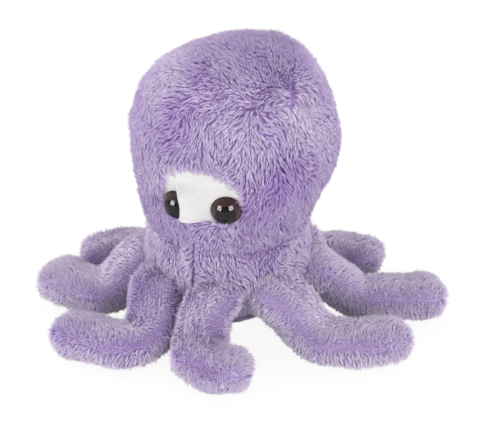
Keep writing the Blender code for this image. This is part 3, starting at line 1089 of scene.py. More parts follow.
    def shaped(self, points: Array) -> Array:
        """Moves points of the plain head to where the stuffing pushes them.

        Args:
            points: Places on the plain head.

        Returns:
            The places on the stuffed head.
        """
        outward = unit(points - HEAD_MIDDLE)
        lift = smoothstep(points[..., 2], NECK_HEIGHT, NECK_HEIGHT + 0.012)
        bulge = ripples(points, self.bulge_waves) * lift
        bulge -= self.seam_depth * bell(self.seam_distance(points), self.seam_reach)
        for swell in self.lumps:
            bulge += swell.height * bell(apart(points, swell.place), swell.radius)
        return points + outward * bulge[..., None]

    def surface(self, name: str, depth: float, steps: int = 96, rows: int = 52) -> Mesh:
        """Makes the head's closed surface at a depth below its outside, a little uneven as stuffing is.

        Args:
            name: The mesh's name.
            depth: How far it lies below the panels' own surface.
            steps: Points round each ring.
            rows: Rings from the neck to the top.

        Returns:
            The mesh.
        """
        line = smooth_line(sunk(self.line, depth), rows)[:-1]
        bearing = np.arange(steps) * math.tau / steps
        rings = on_bearing(bearing[None], line[:, :1], line[:, 1:]) + self.lean(line[:, 1:])
        return closed_mesh(name, self.shaped(rings))

    def on_front(self, level: Array, height: Array, depth: float) -> Array:
        """Gives points on the front of the head.

        Args:
            level: Their places along X.
            height: Their heights.
            depth: How far they lie below the panels' own surface.

        Returns:
            The points, with the fold over the left eye.
        """
        line = sunk(self.line, depth)
        line = line[: line[:, 1].argmax()]
        radius = np.interp(height, line[:, 1], line[:, 0])
        middle = self.lean(height)
        bearing = np.arcsin(np.clip((level - middle[..., 0]) / radius, -1, 1))
        points = self.shaped(middle + on_bearing(bearing, radius, height))
        outward = unit(points - HEAD_MIDDLE)
        inside = smoothstep(-self.patch_reach(points), -0.0001, 0.0008)
        return points + outward * (self.fold.lift(points) * inside)[..., None]

    def seam_distance(self, points: Array) -> Array:
        """Gives how far points are from the nearest sewn seam of the crown.

        Args:
            points: Places on or near the surface.

        Returns:
            Their distances from the seam.
        """
        crown = (points - self.crown[0]) @ self.crown[1]
        top = (points - self.top[0]) @ self.top[1]
        top = np.where(crown > 0, np.abs(top), 1)
        return np.minimum(np.abs(crown), top)

    def patch_reach(self, points: Array) -> Array:
        """Gives how far points in front lie outside the patch's outline, below zero inside it.

        Args:
            points: Places on or near the surface.

        Returns:
            Their distances from the outline, and a large one behind.
        """
        level, upright = points[..., 0] - self.patch_middle[0], points[..., 2] - self.patch_middle[2]
        cosine, sine = math.cos(self.patch_turn), math.sin(self.patch_turn)
        across, up = level * cosine - upright * sine, upright * cosine + level * sine
        across, up = np.abs(across) / self.patch_half_width, np.abs(up) / self.patch_half_height
        share = (across**self.squareness + up**self.squareness) ** (1 / self.squareness)
        reach = (share - 1) * (self.patch_half_width + self.patch_half_height) / 2
        return np.where(points[..., 1] < 0, reach, 1)

    def nap(self, points: Array, normals: Array) -> Nap:
        """Lays the pile: fanning down from the whorl over the face, upright over the crown.

        Args:
            points: Places on or near the surface.
            normals: The surface's normals there.

        Returns:
            How the pile lies there.
        """
        away = points - np.array(self.whorl)
        far = np.linalg.norm(away, axis=-1, keepdims=True)
        face = unit(away) * peaked(far, self.whorl_reach) - UP * (1 - peaked(far, self.hang_reach))
        crown_side = (points - self.crown[0]) @ self.crown[1]
        top_side = (points - self.top[0]) @ self.top[1]
        left = np.array(self.left_flow) + unit(away) * self.left_fan
        crown = np.where(top_side[:, None] > 0, np.array(self.right_flow), left)
        above = crown_side[:, None] > 0
        flow = in_surface(np.where(above, crown, face), normals)
        flow = turned(flow, normals, ripples(points, self.swing_waves))
        top = self.top_parting * peaked(top_side, self.top_parting_reach) * np.sign(top_side)
        crown = self.crown_parting * peaked(crown_side, self.crown_parting_reach)
        parting = (self.top[1] * top[:, None] - self.crown[1] * crown[:, None]) * above
        reach = self.patch_reach(points)
        lap = peaked(np.maximum(reach, 0), self.lap_reach)
        inward = in_surface(self.patch_middle + (0, -0.03, 0) - points, normals)
        flow = flow * (1 - lap)[:, None] + inward * lap[:, None] * self.lap_pull
        flow = in_surface(flow + parting * self.parting_share, normals)
        high = smoothstep(crown_side, 0.001, 0.010)
        chin = smoothstep(self.patch_middle[2] - points[:, 2], 0.006, 0.010) * lap
        brow = smoothstep(points[:, 0] - self.patch_middle[0], 0.002, 0.010) * (1 - chin) * lap
        tuck = bell(apart(points, self.tuck), self.tuck_reach)
        low = 1 - smoothstep(points[:, 2], NECK_HEIGHT, NECK_HEIGHT + 0.008)
        lean = self.lean_angle + ripples(points, self.lean_waves) + self.crown_lean * high
        lean += self.chin_lean * chin + self.brow_lean * brow + self.tuck_lean * tuck
        lean += self.top_lean * high * bell(top_side, self.top_lean_reach)
        seam = peaked(self.seam_distance(points), self.seam_reach)
        # The tint adds painted light and shade patches, and painted shade along the seams.
        tint = self.tinted(points, self.marks) + self.seam_tint * seam
        length = 1 + ripples(points, self.length_waves) + self.crown_length * high + self.neck_length * low
        length += self.chin_length * chin + self.brow_length * brow + self.tuck_length * tuck
        return Nap(flow, lean, tint, length, reach > 0.0002)

    def patch_rim(self, turn: Array, grown: float = 0) -> Array:
        """Gives the patch's outline, seen from the front.

        Args:
            turn: Angles round the patch.
            grown: How much larger the outline is on every side.

        Returns:
            The outline's places along X and Z, by place and then by angle.
        """
        power = 2 / self.squareness
        across = np.sign(np.cos(turn)) * np.abs(np.cos(turn)) ** power * (self.patch_half_width + grown)
        up = np.sign(np.sin(turn)) * np.abs(np.sin(turn)) ** power * (self.patch_half_height + grown)
        cosine, sine = math.cos(self.patch_turn), math.sin(self.patch_turn)
        level = self.patch_middle[0] + across * cosine + up * sine
        return np.stack([level, self.patch_middle[2] + up * cosine - across * sine])

    def patch_prism(self, grown: float) -> Object:
        """Models the patch's outline as a prism that reaches through the front of the head.

        Args:
            grown: How much larger the outline is on every side.

        Returns:
            The prism, ready to cut with.
        """
        lying = (math.radians(90), 0, 0)
        prism = added(
            bpy.ops.mesh.primitive_cylinder_add, vertices=96, radius=1, depth=self.radius, rotation=lying
        )
        for vertex in prism.data.vertices:
            vertex.co.x, vertex.co.z = self.patch_rim(math.atan2(vertex.co.z, vertex.co.x), grown)
            vertex.co.y += self.patch_middle[1] - self.radius
        return prism

    def build_panels(self, pile: Material) -> None:
        """Makes the four furred panels.

        Args:
            pile: The fur's finish.
        """
        whole = self.surface("head_ground", CLOTH_DEPTH)
        below, above = both_sides(*self.crown)
        before, behind = both_sides(np.zeros(3), np.array((0.0, 1.0, 0.0)))
        left, right = both_sides(*self.top)
        panels = {
            "face": [below, before],
            "nape": [below, behind],
            "crown_left": [above, left],
            "crown_right": [above, right],
        }
        for name, planes in panels.items():
            cutters = (self.patch_prism(self.patch_gap),) if name == "face" else ()
            piece = self.finished(name + "_fur", trimmed(whole, planes), pile, cutters)
            declare(piece, "body", name + "_panel")

    def build_patch(self, velour: Material) -> None:
        """Makes the velour patch, a cloth let into the face and folded over the left eye's inner side.

        Args:
            velour: The patch's finish.
        """
        turn = np.arange(self.patch_steps) * math.tau / self.patch_steps
        rim = self.patch_rim(turn) - self.patch_middle[[0, 2], None]
        share = np.linspace(0.01, 1, self.patch_rings)[:, None]
        level, height = self.patch_middle[[0, 2], None, None] + rim[:, None] * share
        outer = self.on_front(level, height, self.patch_recess)
        inner = self.on_front(level, height, self.patch_recess + CLOTH_THICKNESS)
        patch = add_object("face_velour", closed_mesh("face_velour", np.concatenate([outer, inner[::-1]])))
        patch.data.shade_smooth()
        patch.data.set_sharp_from_angle(angle=math.radians(40))
        patch.data.materials.append(velour)
        declare(patch, "body", "face_patch")
        LOG.info("face_velour: %d faces", len(patch.data.polygons))

    def build_pad(self, wadding: Material) -> None:
        """Makes the head's wadding, inside the cloth."""
        pad = padding("head_pad", self.surface("head_pad", PAD_DEPTH, steps=64, rows=40), wadding)
        declare(pad, "body", "head_stuffing")


@dataclass
class Body(SoftCover):
    """The short body under the head: two furred panels, the base and the wadding."""

    paleness: float = 0.64
    radius: float = 0.035
    base_radius: float = 0.0095
    base_seam: float = 0.0075
    seam_bearing: float = math.radians(-7)
    seam_depth: float = 0.0008
    seam_reach: float = 0.0014
    stuffed_heights: tuple = (0.004, 0.012)
    lump_waves: tuple = ((0.0005, 0.020, 23),)
    under_slope: tuple = (0.45, 0.9)
    neck_reach: float = 0.008
    outward_flow: float = 0.3
    swing_waves: tuple = ((0.9, 0.018, 41), (0.3, 0.007, 42))
    parting: float = 1.2
    parting_reach: float = 0.0018
    lean_angle: float = 0.78
    lean_waves: tuple = ((0.14, 0.010, 43),)
    under_lean: float = 0.45
    neck_lean: float = -0.15
    # Painted shade: deeper tint along the front seam and on the underside.
    seam_tint: float = -0.12
    seam_tint_reach: float = 0.0015
    under_tint: float = -0.15
    length_waves: tuple = ((0.08, 0.009, 44),)
    under_length: float = -0.35
    neck_length: float = -0.20
    under_kept: float = 0.55
    arm_share: float = 0.46
    arm_edge: float = 0.72
    outline: tuple = (
        (0.430, 0.075),
        (0.600, 0.170),
        (0.780, 0.285),
        (0.915, 0.420),
        (0.985, 0.560),
        (1.000, 0.700),
        (0.965, 0.860),
    )
    # Painted light and shade: paler and deeper patches where the body's pile catches more or less light.
    marks: tuple = (
        PaintedLightPatch((0.021, -0.025, 0.044), 0.009, -0.42),
        PaintedLightPatch((0.003, -0.034, 0.030), 0.008, 0.10),
        PaintedLightPatch((-0.0185, -0.0276, 0.0415), 0.006, -0.22),
        PaintedLightPatch((-0.028, -0.018, 0.036), 0.007, 0.25),
        PaintedLightPatch((0.030, -0.012, 0.040), 0.006, 0.30),
    )
    seed: int = 5

    def __post_init__(self) -> None:
        """Works out the outline from the flat base up to the neck, and the front seam's right."""
        self.seam_side = on_bearing(self.seam_bearing + math.pi / 2, 1, 0)
        rows = [(self.base_radius, 0.0)]
        rows += [(r * self.radius, z * NECK_HEIGHT) for r, z in self.outline]
        rows += [(NECK_RADIUS, NECK_HEIGHT)]
        self.line = smooth_line(np.array(rows), 80)

    def radius_at(self, height: Array) -> Array:
        """Gives the body's radius at a height."""
        return np.interp(height, self.line[:, 1], self.line[:, 0])

    def surface(self, name: str, depth: float, steps: int = 88, rows: int = 34) -> Mesh:
        """Makes the body's closed surface at a depth below its outside.

        Args:
            name: The mesh's name.
            depth: How far it lies below the panels' own surface.
            steps: Points round each ring.
            rows: Rings from the base to the neck.

        Returns:
            The mesh.
        """
        line = smooth_line(sunk(self.line, depth), rows)
        line[:, 1] = np.clip(line[:, 1], depth * 0.5, NECK_HEIGHT - 0.0002)
        bearing = np.arange(steps) * math.tau / steps
        rings = on_bearing(bearing[None], line[:, :1], line[:, 1:])
        seam = bell(rings @ self.seam_side, self.seam_reach)
        lump = ripples(rings, self.lump_waves) - self.seam_depth * seam
        free = smoothstep(line[:, 1], *self.stuffed_heights)[:, None]
        return closed_mesh(name, rings + unit(rings * (1, 1, 0)) * (lump * free)[..., None])

    def nap(self, points: Array, normals: Array) -> Nap:
        """Lays the pile down and outward, parted along the front seam and swirled below the face.

        Args:
            points: Places on or near the surface.
            normals: The surface's normals there.

        Returns:
            How the pile lies there.
        """
        outward = unit(points * (1, 1, 0))
        under = smoothstep(-normals[:, 2], *self.under_slope)
        flow = -UP * (1 - under)[:, None] + outward * (self.outward_flow + under)[:, None]
        flow = in_surface(flow, normals)
        flow = turned(flow, normals, ripples(points, self.swing_waves) * (1 - under))
        away = points @ self.seam_side
        parting = (peaked(away, self.parting_reach) * np.sign(away))[:, None] * self.seam_side * self.parting
        flow = in_surface(flow + parting, normals)
        high = smoothstep(points[:, 2], NECK_HEIGHT - self.neck_reach, NECK_HEIGHT)
        lean = self.lean_angle + ripples(points, self.lean_waves)
        lean += self.under_lean * under + self.neck_lean * high
        # Painted shade: the tint is made deeper underneath and along the front seam.
        tint = self.tinted(points, self.marks) + self.under_tint * under
        tint += self.seam_tint * peaked(away, self.seam_tint_reach)
        length = 1 + ripples(points, self.length_waves)
        length += self.under_length * under + self.neck_length * high
        kept = np.where(under > 0.5, self.under_kept, 1.0)
        bearing = np.arctan2(points[:, 0], -points[:, 1])
        for arm in ARM_PLACES:
            turn = (bearing - arm.bearing + math.pi) % math.tau - math.pi
            lateral = turn * np.linalg.norm(points[:, :2], axis=1) / (arm.width * self.arm_share)
            rise = (points[:, 2] - arm.root_height) / (arm.thickness * self.arm_share)
            kept = kept * (lateral**2 + rise**2 > self.arm_edge)
        return Nap(flow, lean, tint, length, kept)

    def build(self, pile: Material, wadding: Material) -> None:
        """Makes the body's panels, base and wadding.

        Args:
            pile: The fur's finish.
            wadding: The filling's finish.
        """
        whole = self.surface("body_ground", CLOTH_DEPTH)
        left, right = both_sides(np.zeros(3), self.seam_side)
        below, above = both_sides(UP * self.base_seam, UP)
        panels = {"body_left": [above, left], "body_right": [above, right], "base": [below]}
        for name, planes in panels.items():
            piece = self.finished(name + "_fur", trimmed(whole, planes), pile)
            declare(piece, "body", name + "_panel")
        pad = padding("body_pad", self.surface("body_pad", PAD_DEPTH, steps=48, rows=24), wadding)
        declare(pad, "body", "body_stuffing")


class Side(Enum):
    """The two fur panels of an arm."""

    UPPER = "upper"
    LOWER = "lower"


@dataclass
class Arm(SoftCover):
    """One curled arm: upper and lower furred panels and the wadding, bent where they join the body."""

    name: str
    place: float
    lead: float
    curl: float
    # Painted light and shade: paler and deeper patches on this arm's pile.
    marks: tuple = ()
    share: float = 1.0
    # The arms' paleness and foot_tone sit above the head's partly as painted light, lifting arms that the
    # head and their neighbours shade.
    paleness: float = 0.84
    foot_tone: float = 0.38
    width: float = 0.0228
    thickness: float = 0.0195
    full_length: float = 0.0585
    root_radius: float = 0.0335
    root_height: float = 0.0255
    flat_depth: float = 0.0005
    extra_depth: float = 0.0003
    drop_share: float = 0.42
    root_share: float = 1.02
    end_share: float = 0.94
    ring_twist: float = -15
    lead_shares: tuple = (-0.05, 0.10)
    curl_shares: tuple = (0.18, 0.75)
    bluntness: float = 2.6
    parting: float = 0.47
    parting_wander: float = 0.10
    parting_reach: float = 0.18
    under_slope: tuple = (0.35, 0.85)
    ridge_angles: tuple = (0.85, 1.45)
    lower_angles: tuple = (-0.1, 0.2)
    upper_angles: tuple = (0.2, 1.2)
    ahead_flow: float = 0.30
    under_flow: float = 0.6
    band_reach: float = 0.30
    lean_angle: float = 0.62
    lean_waves: tuple = ((0.12, 0.009, 53),)
    under_lean: float = 0.45
    band_lean: float = -0.25
    # Painted shade: deeper tint underneath and along the parting.
    under_tint: float = -0.25
    band_tint: float = -0.16
    lower_tint: float = 0.18
    upper_tint: float = 0.16
    usual_length: float = 0.86
    length_waves: tuple = ((0.08, 0.009, 54),)
    under_length: float = -0.15
    under_kept: float = 0.5
    hidden_depth: float = 0.0008
    lump_waves: tuple = ((0.0005, 0.016, 24),)
    bend_radii: tuple = (0.0315, 0.0465)
    stations: int = 40
    seam_depth: float = 0.0009
    seam_reach: float = 0.0012
    seed: int = 7

    def __post_init__(self) -> None:
        """Works out the arm's middle line, and the directions across and up along it."""
        self.bearing = math.radians(self.place + self.ring_twist)
        self.length = self.full_length * self.share
        self.rounding = self.length - self.width / 2
        straight = np.linspace(-0.004, self.rounding, self.stations)
        along = np.concatenate([straight, np.linspace(self.rounding, self.length, 9)[1:]])
        self.along = along
        self.centres = self.centre(along)
        self.ahead = unit(np.gradient(self.centres, along, axis=0))
        self.across = unit(np.cross(self.ahead, UP))
        self.up = np.cross(self.across, self.ahead)

    def girth(self, share: Array) -> Array:
        """Gives how thick the arm is at a share of its length.

        Args:
            share: Shares of the arm's length, from the root.

        Returns:
            How thick it is there, as a share of its usual thickness.
        """
        share = np.asarray(share, float)
        ends = self.root_share + (self.end_share - self.root_share) * share
        return ends + (1 - ends) * np.sin(math.pi * np.clip(share, 0, 1))

    def heading(self, along: Array) -> Array:
        """Gives the bearing in which the arm runs at a distance along it.

        Args:
            along: Distances along the arm.

        Returns:
            The bearings, in radians.
        """
        share = along / self.length
        low, high = self.curl_shares
        bend = np.clip((share - low) / (high - low), 0, 1)
        turn = math.radians(self.lead) * smoothstep(share, *self.lead_shares)
        return self.bearing + turn + math.radians(self.curl) * bend

    def centre(self, along: Array) -> Array:
        """Gives points on the middle line: out of the body, down to the floor, and round with the curl.

        Args:
            along: Distances along the arm.

        Returns:
            The points.
        """
        count = self.stations
        path = self.heading(along[:, None] * (np.arange(count) + 0.5) / count)
        place = on_bearing(self.bearing, self.root_radius, 0)
        place = place + on_bearing(path, (along / count)[:, None], 0).sum(1)
        share = along / self.length
        blunt = 1 - self.width / (2 * self.length)
        resting = self.girth(np.minimum(share, blunt)) * self.thickness / 2 - self.flat_depth
        place[:, 2] = self.root_height + (resting - self.root_height) * smoothstep(share, 0, self.drop_share)
        return place

    def surface(self, name: str, depth: float, around: int = 36) -> Mesh:
        """Makes the arm's closed surface at a depth below its outside, flat where it rests.

        Args:
            name: The mesh's name.
            depth: How far it lies below the panels' own surface.
            around: Points round each ring.

        Returns:
            The mesh.
        """
        turn = np.arange(around) * math.tau / around
        end = self.stations
        angle = np.linspace(0, math.pi / 2, 12)[1:-1]
        power = 2 / self.bluntness
        reach = self.rounding + (self.width / 2 - depth) * np.sin(angle) ** power
        along = np.concatenate([self.along[:end], reach])
        full = self.girth(self.along[end - 1] / self.length)
        girth = np.concatenate([self.girth(self.along[:end] / self.length), full * np.cos(angle) ** power])
        centres = self.centre(along)
        ahead = unit(np.gradient(centres, along, axis=0))
        across = unit(np.cross(ahead, UP))
        up = np.cross(across, ahead)
        half = self.width / 2 - depth
        tall = self.thickness / 2 - depth
        level, upright = (np.cos(turn) * half)[:, None], (np.sin(turn) * tall)[:, None]
        rings = centres[:, None] + girth[:, None, None] * (across[:, None] * level + up[:, None] * upright)
        lump = ripples(rings, self.lump_waves)
        groove = bell(np.sin(turn) * tall, self.seam_reach) * np.minimum(girth, 1)[:, None] ** 2
        outward = unit(rings - centres[:, None])
        rings = rings + outward * (lump - self.seam_depth * groove)[..., None]
        rings[..., 2] = np.maximum(rings[..., 2], depth * 0.65)
        return closed_mesh(name, rings)

    def local(self, points: Array) -> tuple[Array, Array, Array]:
        """Finds the nearest place on the middle line, and the offsets across and up from it.

        Args:
            points: Places on or near the arm.

        Returns:
            The number of the nearest station, the offset across and the offset up.
        """
        gaps = np.linalg.norm(points[:, None] - self.centres[None], axis=-1)
        nearest = gaps.argmin(1)
        away = points - self.centres[nearest]
        return nearest, dot(away, self.across[nearest])[:, 0], dot(away, self.up[nearest])[:, 0]

    def nap(self, points: Array, normals: Array) -> Nap:
        """Lays the pile apart from a line along each flank: up to the ridge, and down to the floor.

        Args:
            points: Places on or near the surface.
            normals: The surface's normals there.

        Returns:
            How the pile lies there.
        """
        nearest, across, up = self.local(points)
        ahead, sideways, upward = self.ahead[nearest], self.across[nearest], self.up[nearest]
        side = np.where(across < 0, -1.0, 1.0)
        around = np.arctan2(up / self.thickness, np.abs(across) / self.width)
        under = smoothstep(-normals[:, 2], *self.under_slope)
        parting = self.parting + self.parting_wander * ripple(points, 0.020, 50 + self.seed)
        climb = in_surface(upward - sideways * side[:, None], normals)
        ridge = smoothstep(around, *self.ridge_angles)
        rising = np.tanh((around - parting) / self.parting_reach) * (1 - ridge)
        onward = self.ahead_flow + (1 - self.ahead_flow) * ridge
        flow = climb * rising[:, None] + ahead * onward[:, None]
        flow = flow + sideways * (side * self.under_flow * under)[:, None]
        swing = ripples(points, ((0.32, 0.014, 51 + self.seed), (0.20, 0.006, 52)))
        flow = turned(in_surface(flow, normals), normals, swing)
        band = bell(around - parting, self.band_reach)
        lower = smoothstep(-around, *self.lower_angles)
        upper = smoothstep(around, parting + self.upper_angles[0], self.upper_angles[1]) * (1 - ridge)
        lean = self.lean_angle + ripples(points, self.lean_waves)
        lean += self.under_lean * under + self.band_lean * band
        # Painted shade underneath and along the parting, on top of the painted light and shade patches.
        tint = self.tinted(points, self.marks) + self.under_tint * under + self.band_tint * band
        tint += self.lower_tint * lower + self.upper_tint * upper
        length = self.usual_length + ripples(points, self.length_waves) + self.under_length * under
        clear = np.linalg.norm(points[:, :2], axis=1) - BODY.radius_at(points[:, 2])
        kept = (clear > -self.hidden_depth) * np.where(under > 0.5, self.under_kept, 1.0)
        return Nap(flow, lean, tint, length, kept)

    def panel(self, side: Side, whole: Mesh) -> Mesh:
        """Takes the upper or lower half of the arm's surface.

        Args:
            side: Which half.
            whole: The closed surface.

        Returns:
            The half, open along its seams and at its root.
        """
        shape = bmesh.new()
        shape.from_mesh(whole)
        shape.faces.ensure_lookup_table()
        centres = np.array([face.calc_center_median() for face in shape.faces])
        _, _, up = self.local(centres)
        inside = ((centres - self.centres[0]) @ self.ahead[0]) < 0.00005
        wrong = (up < 0) if side is Side.UPPER else (up >= 0)
        doomed = [face for face, bad in zip(shape.faces, wrong | inside) if bad]
        bmesh.ops.delete(shape, geom=doomed, context="FACES")
        half = bpy.data.meshes.new(whole.name + "_" + side.value)
        shape.to_mesh(half)
        shape.free()
        return half

    def build(self, pile: Material, wadding: Material) -> None:
        """Makes the arm's two furred panels and its wadding.

        Args:
            pile: The fur's finish.
            wadding: The filling's finish.
        """
        body = "arm_" + self.name
        whole = self.surface(body, CLOTH_DEPTH + self.extra_depth)
        start, end = (on_bearing(self.bearing, radius, self.root_height) for radius in self.bend_radii)
        for side in Side:
            piece = self.finished(f"{body}_{side.value}_fur", self.panel(side, whole), pile)
            self.join(piece, body, f"{body}_{side.value}", start, end)
        pad = padding(body + "_pad", self.surface(body + "_pad", PAD_DEPTH, around=20), wadding)
        self.join(pad, body, body + "_stuffing", start, end)

    def join(self, piece: Object, body: str, node: str, start: Array, end: Array) -> None:
        """Moves a piece's place into its mesh, in place of a CAD node, which it hides.

        Args:
            piece: The finished piece.
            body: The arm's own body; not used.
            node: The CAD node that the piece stands for.
            start: Where the bend starts; not used.
            end: Where the bend ends; not used.
        """
        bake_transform(piece)
        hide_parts(node)


BODY = Body()
# Painted light and shade on the front and left arms: paler and deeper patches of pile.
FRONT_LIGHT_PATCHES = (PaintedLightPatch((0.007, -0.058, 0.017), 0.010, -0.25), PaintedLightPatch((0.0255, -0.065, 0.015), 0.008, 0.25))
LEFT_LIGHT_PATCHES = (PaintedLightPatch((-0.036, -0.0115, 0.031), 0.012, 0.50),)
# Each arm's paleness is partly painted light: arms whose pile catches more light are given a paler tint.
ARM_PLACES = (
    Arm("front", 22.5, -22, 109, FRONT_LIGHT_PATCHES, share=0.765, end_share=0.88, seed=71),
    Arm("front_left", -22.5, 49, -109, share=1.055, paleness=0.74, curl_shares=(0.20, 0.58), seed=72),
    Arm("left", -67.5, 31, -62, LEFT_LIGHT_PATCHES, share=0.89, paleness=0.97, end_share=1.30, seed=73),
    Arm("back_left", -112.5, 15, 63, share=0.91, paleness=0.90, end_share=0.84, drop_share=0.34, seed=74),
    Arm("back", -157.5, -10, 40, share=0.92, seed=75),
    Arm("back_right", 157.5, 28, -82, share=0.875, paleness=0.94, end_share=0.90, drop_share=0.36, seed=76),
    Arm("right", 112.5, 21, -14, share=1.035, paleness=0.97, end_share=1.06, seed=77),
    Arm("front_right", 67.5, 21, 50, share=1.01, paleness=0.97, root_share=1.14, end_share=0.88, seed=78),
)


@dataclass
class Eye:
    """A domed button eye: a brown iris with a black pupil set in it, on a ribbed shank."""

    name: str
    side: int
    head: Head
    height: float
    radius: float = 0.0063
    dome_height: float = 0.0049
    bearing: float = math.radians(14.7)
    down_tilt: float = math.radians(6)
    seat: float = 0.0005
    pupil_radius: float = 0.0041
    shank_radius: float = 0.0021
    shank_root: float = 0.0003
    neck_drop: float = 0.0017
    rib_drop: float = 0.0007
    rib_depth: float = 0.0003
    ribs: int = 3
    tip_share: float = 0.9
    socket_floor: float = 0.0017
    socket_wall: float = 0.0002
    pupil_gap: float = 0.0001
    pupil_lift: float = 0.00003
    tool_top: float = 0.010
    steps: int = 48

    def place(self) -> Matrix:
        """Gives where the eye sits: its origin is the dome's flat back, and +Z points out of the head.

        Returns:
            The matrix that puts the eye in its place.
        """
        rows = self.head.line
        radius = float(np.interp(self.height, rows[:60, 1], rows[:60, 0])) - self.seat
        bearing = self.side * self.bearing
        place = self.head.lean(self.height) + on_bearing(bearing, radius, self.height)
        out = Vector(on_bearing(bearing, math.cos(self.down_tilt), -math.sin(self.down_tilt)))
        return Matrix.Translation(Vector(place)) @ out.to_track_quat("Z", "Y").to_matrix().to_4x4()

    def cap(self, name: str, lift: float) -> Object:
        """Models the dome as the cap of a ball, with its flat back at zero.

        Args:
            name: The object's name.
            lift: How far the cap stands above the dome's own surface.

        Returns:
            The cap, with its pole along +Z.
        """
        ball = (self.radius**2 + self.dome_height**2) / (2 * self.dome_height)
        cap = added(
            bpy.ops.mesh.primitive_uv_sphere_add,
            segments=self.steps,
            ring_count=self.steps,
            radius=ball + lift,
            location=(0, 0, self.dome_height - ball),
        )
        cap.name = name
        bpy.ops.object.mode_set(mode="EDIT")
        bpy.ops.mesh.select_all(action="SELECT")
        bpy.ops.mesh.bisect(plane_co=(0, 0, 0), plane_no=(0, 0, 1), use_fill=True, clear_inner=True)
        bpy.ops.object.mode_set(mode="OBJECT")
        return cap

    def tool(self, radius: float, low: float) -> Object:
        """Adds a short rod on the eye's axis to cut with, up from a height."""
        size = {"radius": radius, "depth": self.tool_top - low, "location": (0, 0, (low + self.tool_top) / 2)}
        return added(bpy.ops.mesh.primitive_cylinder_add, vertices=self.steps, **size)

    def shank(self) -> Object:
        """Models the ribbed shank by extruding a disc down ring by ring.

        Returns:
            The shank, with its axis along Z.
        """
        size = {"radius": self.shank_radius, "location": (0, 0, self.shank_root)}
        shank = added(bpy.ops.mesh.primitive_circle_add, vertices=32, fill_type="NGON", **size)
        bpy.ops.object.mode_set(mode="EDIT")
        bpy.ops.mesh.select_all(action="SELECT")
        grow = 1 + self.rib_depth / self.shank_radius
        steps = [(self.neck_drop, 1), (self.rib_drop, grow), (self.rib_drop, 1 / grow)] * self.ribs
        steps.append((self.rib_drop, self.tip_share))
        for drop, scale in steps:
            bpy.ops.mesh.extrude_region_move(TRANSFORM_OT_translate={"value": (0, 0, -drop)})
            bpy.ops.transform.resize(value=(scale, scale, 1))
        bpy.ops.mesh.select_all(action="SELECT")
        bpy.ops.mesh.normals_make_consistent(inside=False)
        bpy.ops.object.mode_set(mode="OBJECT")
        return shank

    def build(self, iris: Material, pupil: Material) -> None:
        """Makes the iris on its shank, and the pupil in its socket.

        Args:
            iris: The brown resin.
            pupil: The black resin.
        """
        place = self.place()
        button = self.cap(self.name + "_iris_button", 0)
        socket = self.pupil_radius - self.socket_wall
        combine(button, self.tool(socket, self.socket_floor), "DIFFERENCE")
        combine(button, self.shank(), "UNION")
        plug = self.cap(self.name + "_pupil_plug", self.pupil_lift)
        combine(plug, self.tool(socket - self.pupil_gap, self.socket_floor + self.pupil_gap), "INTERSECT")
        for piece, material, node in ((button, iris, "_iris"), (plug, pupil, "_pupil")):
            piece.matrix_world = place
            settle(piece)
            piece.data.shade_smooth()
            piece.data.set_sharp_from_angle(angle=math.radians(35))
            piece.data.materials.clear()
            piece.data.materials.append(material)
            declare(piece, "body", self.name + node)
            LOG.info("%s: %d faces", piece.name, len(piece.data.polygons))


@dataclass(frozen=True)
class Lamp:
    """A square soft box that faces the toy, or a glint that only gloss shows. Its angles are in degrees."""

    name: str
    azimuth: float
    elevation: float
    distance: float
    size: float
    power: float
    glint: bool = False


LAMPS = (
    Lamp("left_box", -33, 14, 1.2, 0.80, 7.4),
    Lamp("right_box", 52, 14, 1.2, 0.80, 7.4),
    Lamp("front_box", 15, 0, 1.4, 1.40, 2.5),
    Lamp("left_glint", -33, 17, 1.2, 0.62, 22.0, glint=True),
    Lamp("right_glint", 52, 22, 1.2, 0.62, 22.0, glint=True),
)


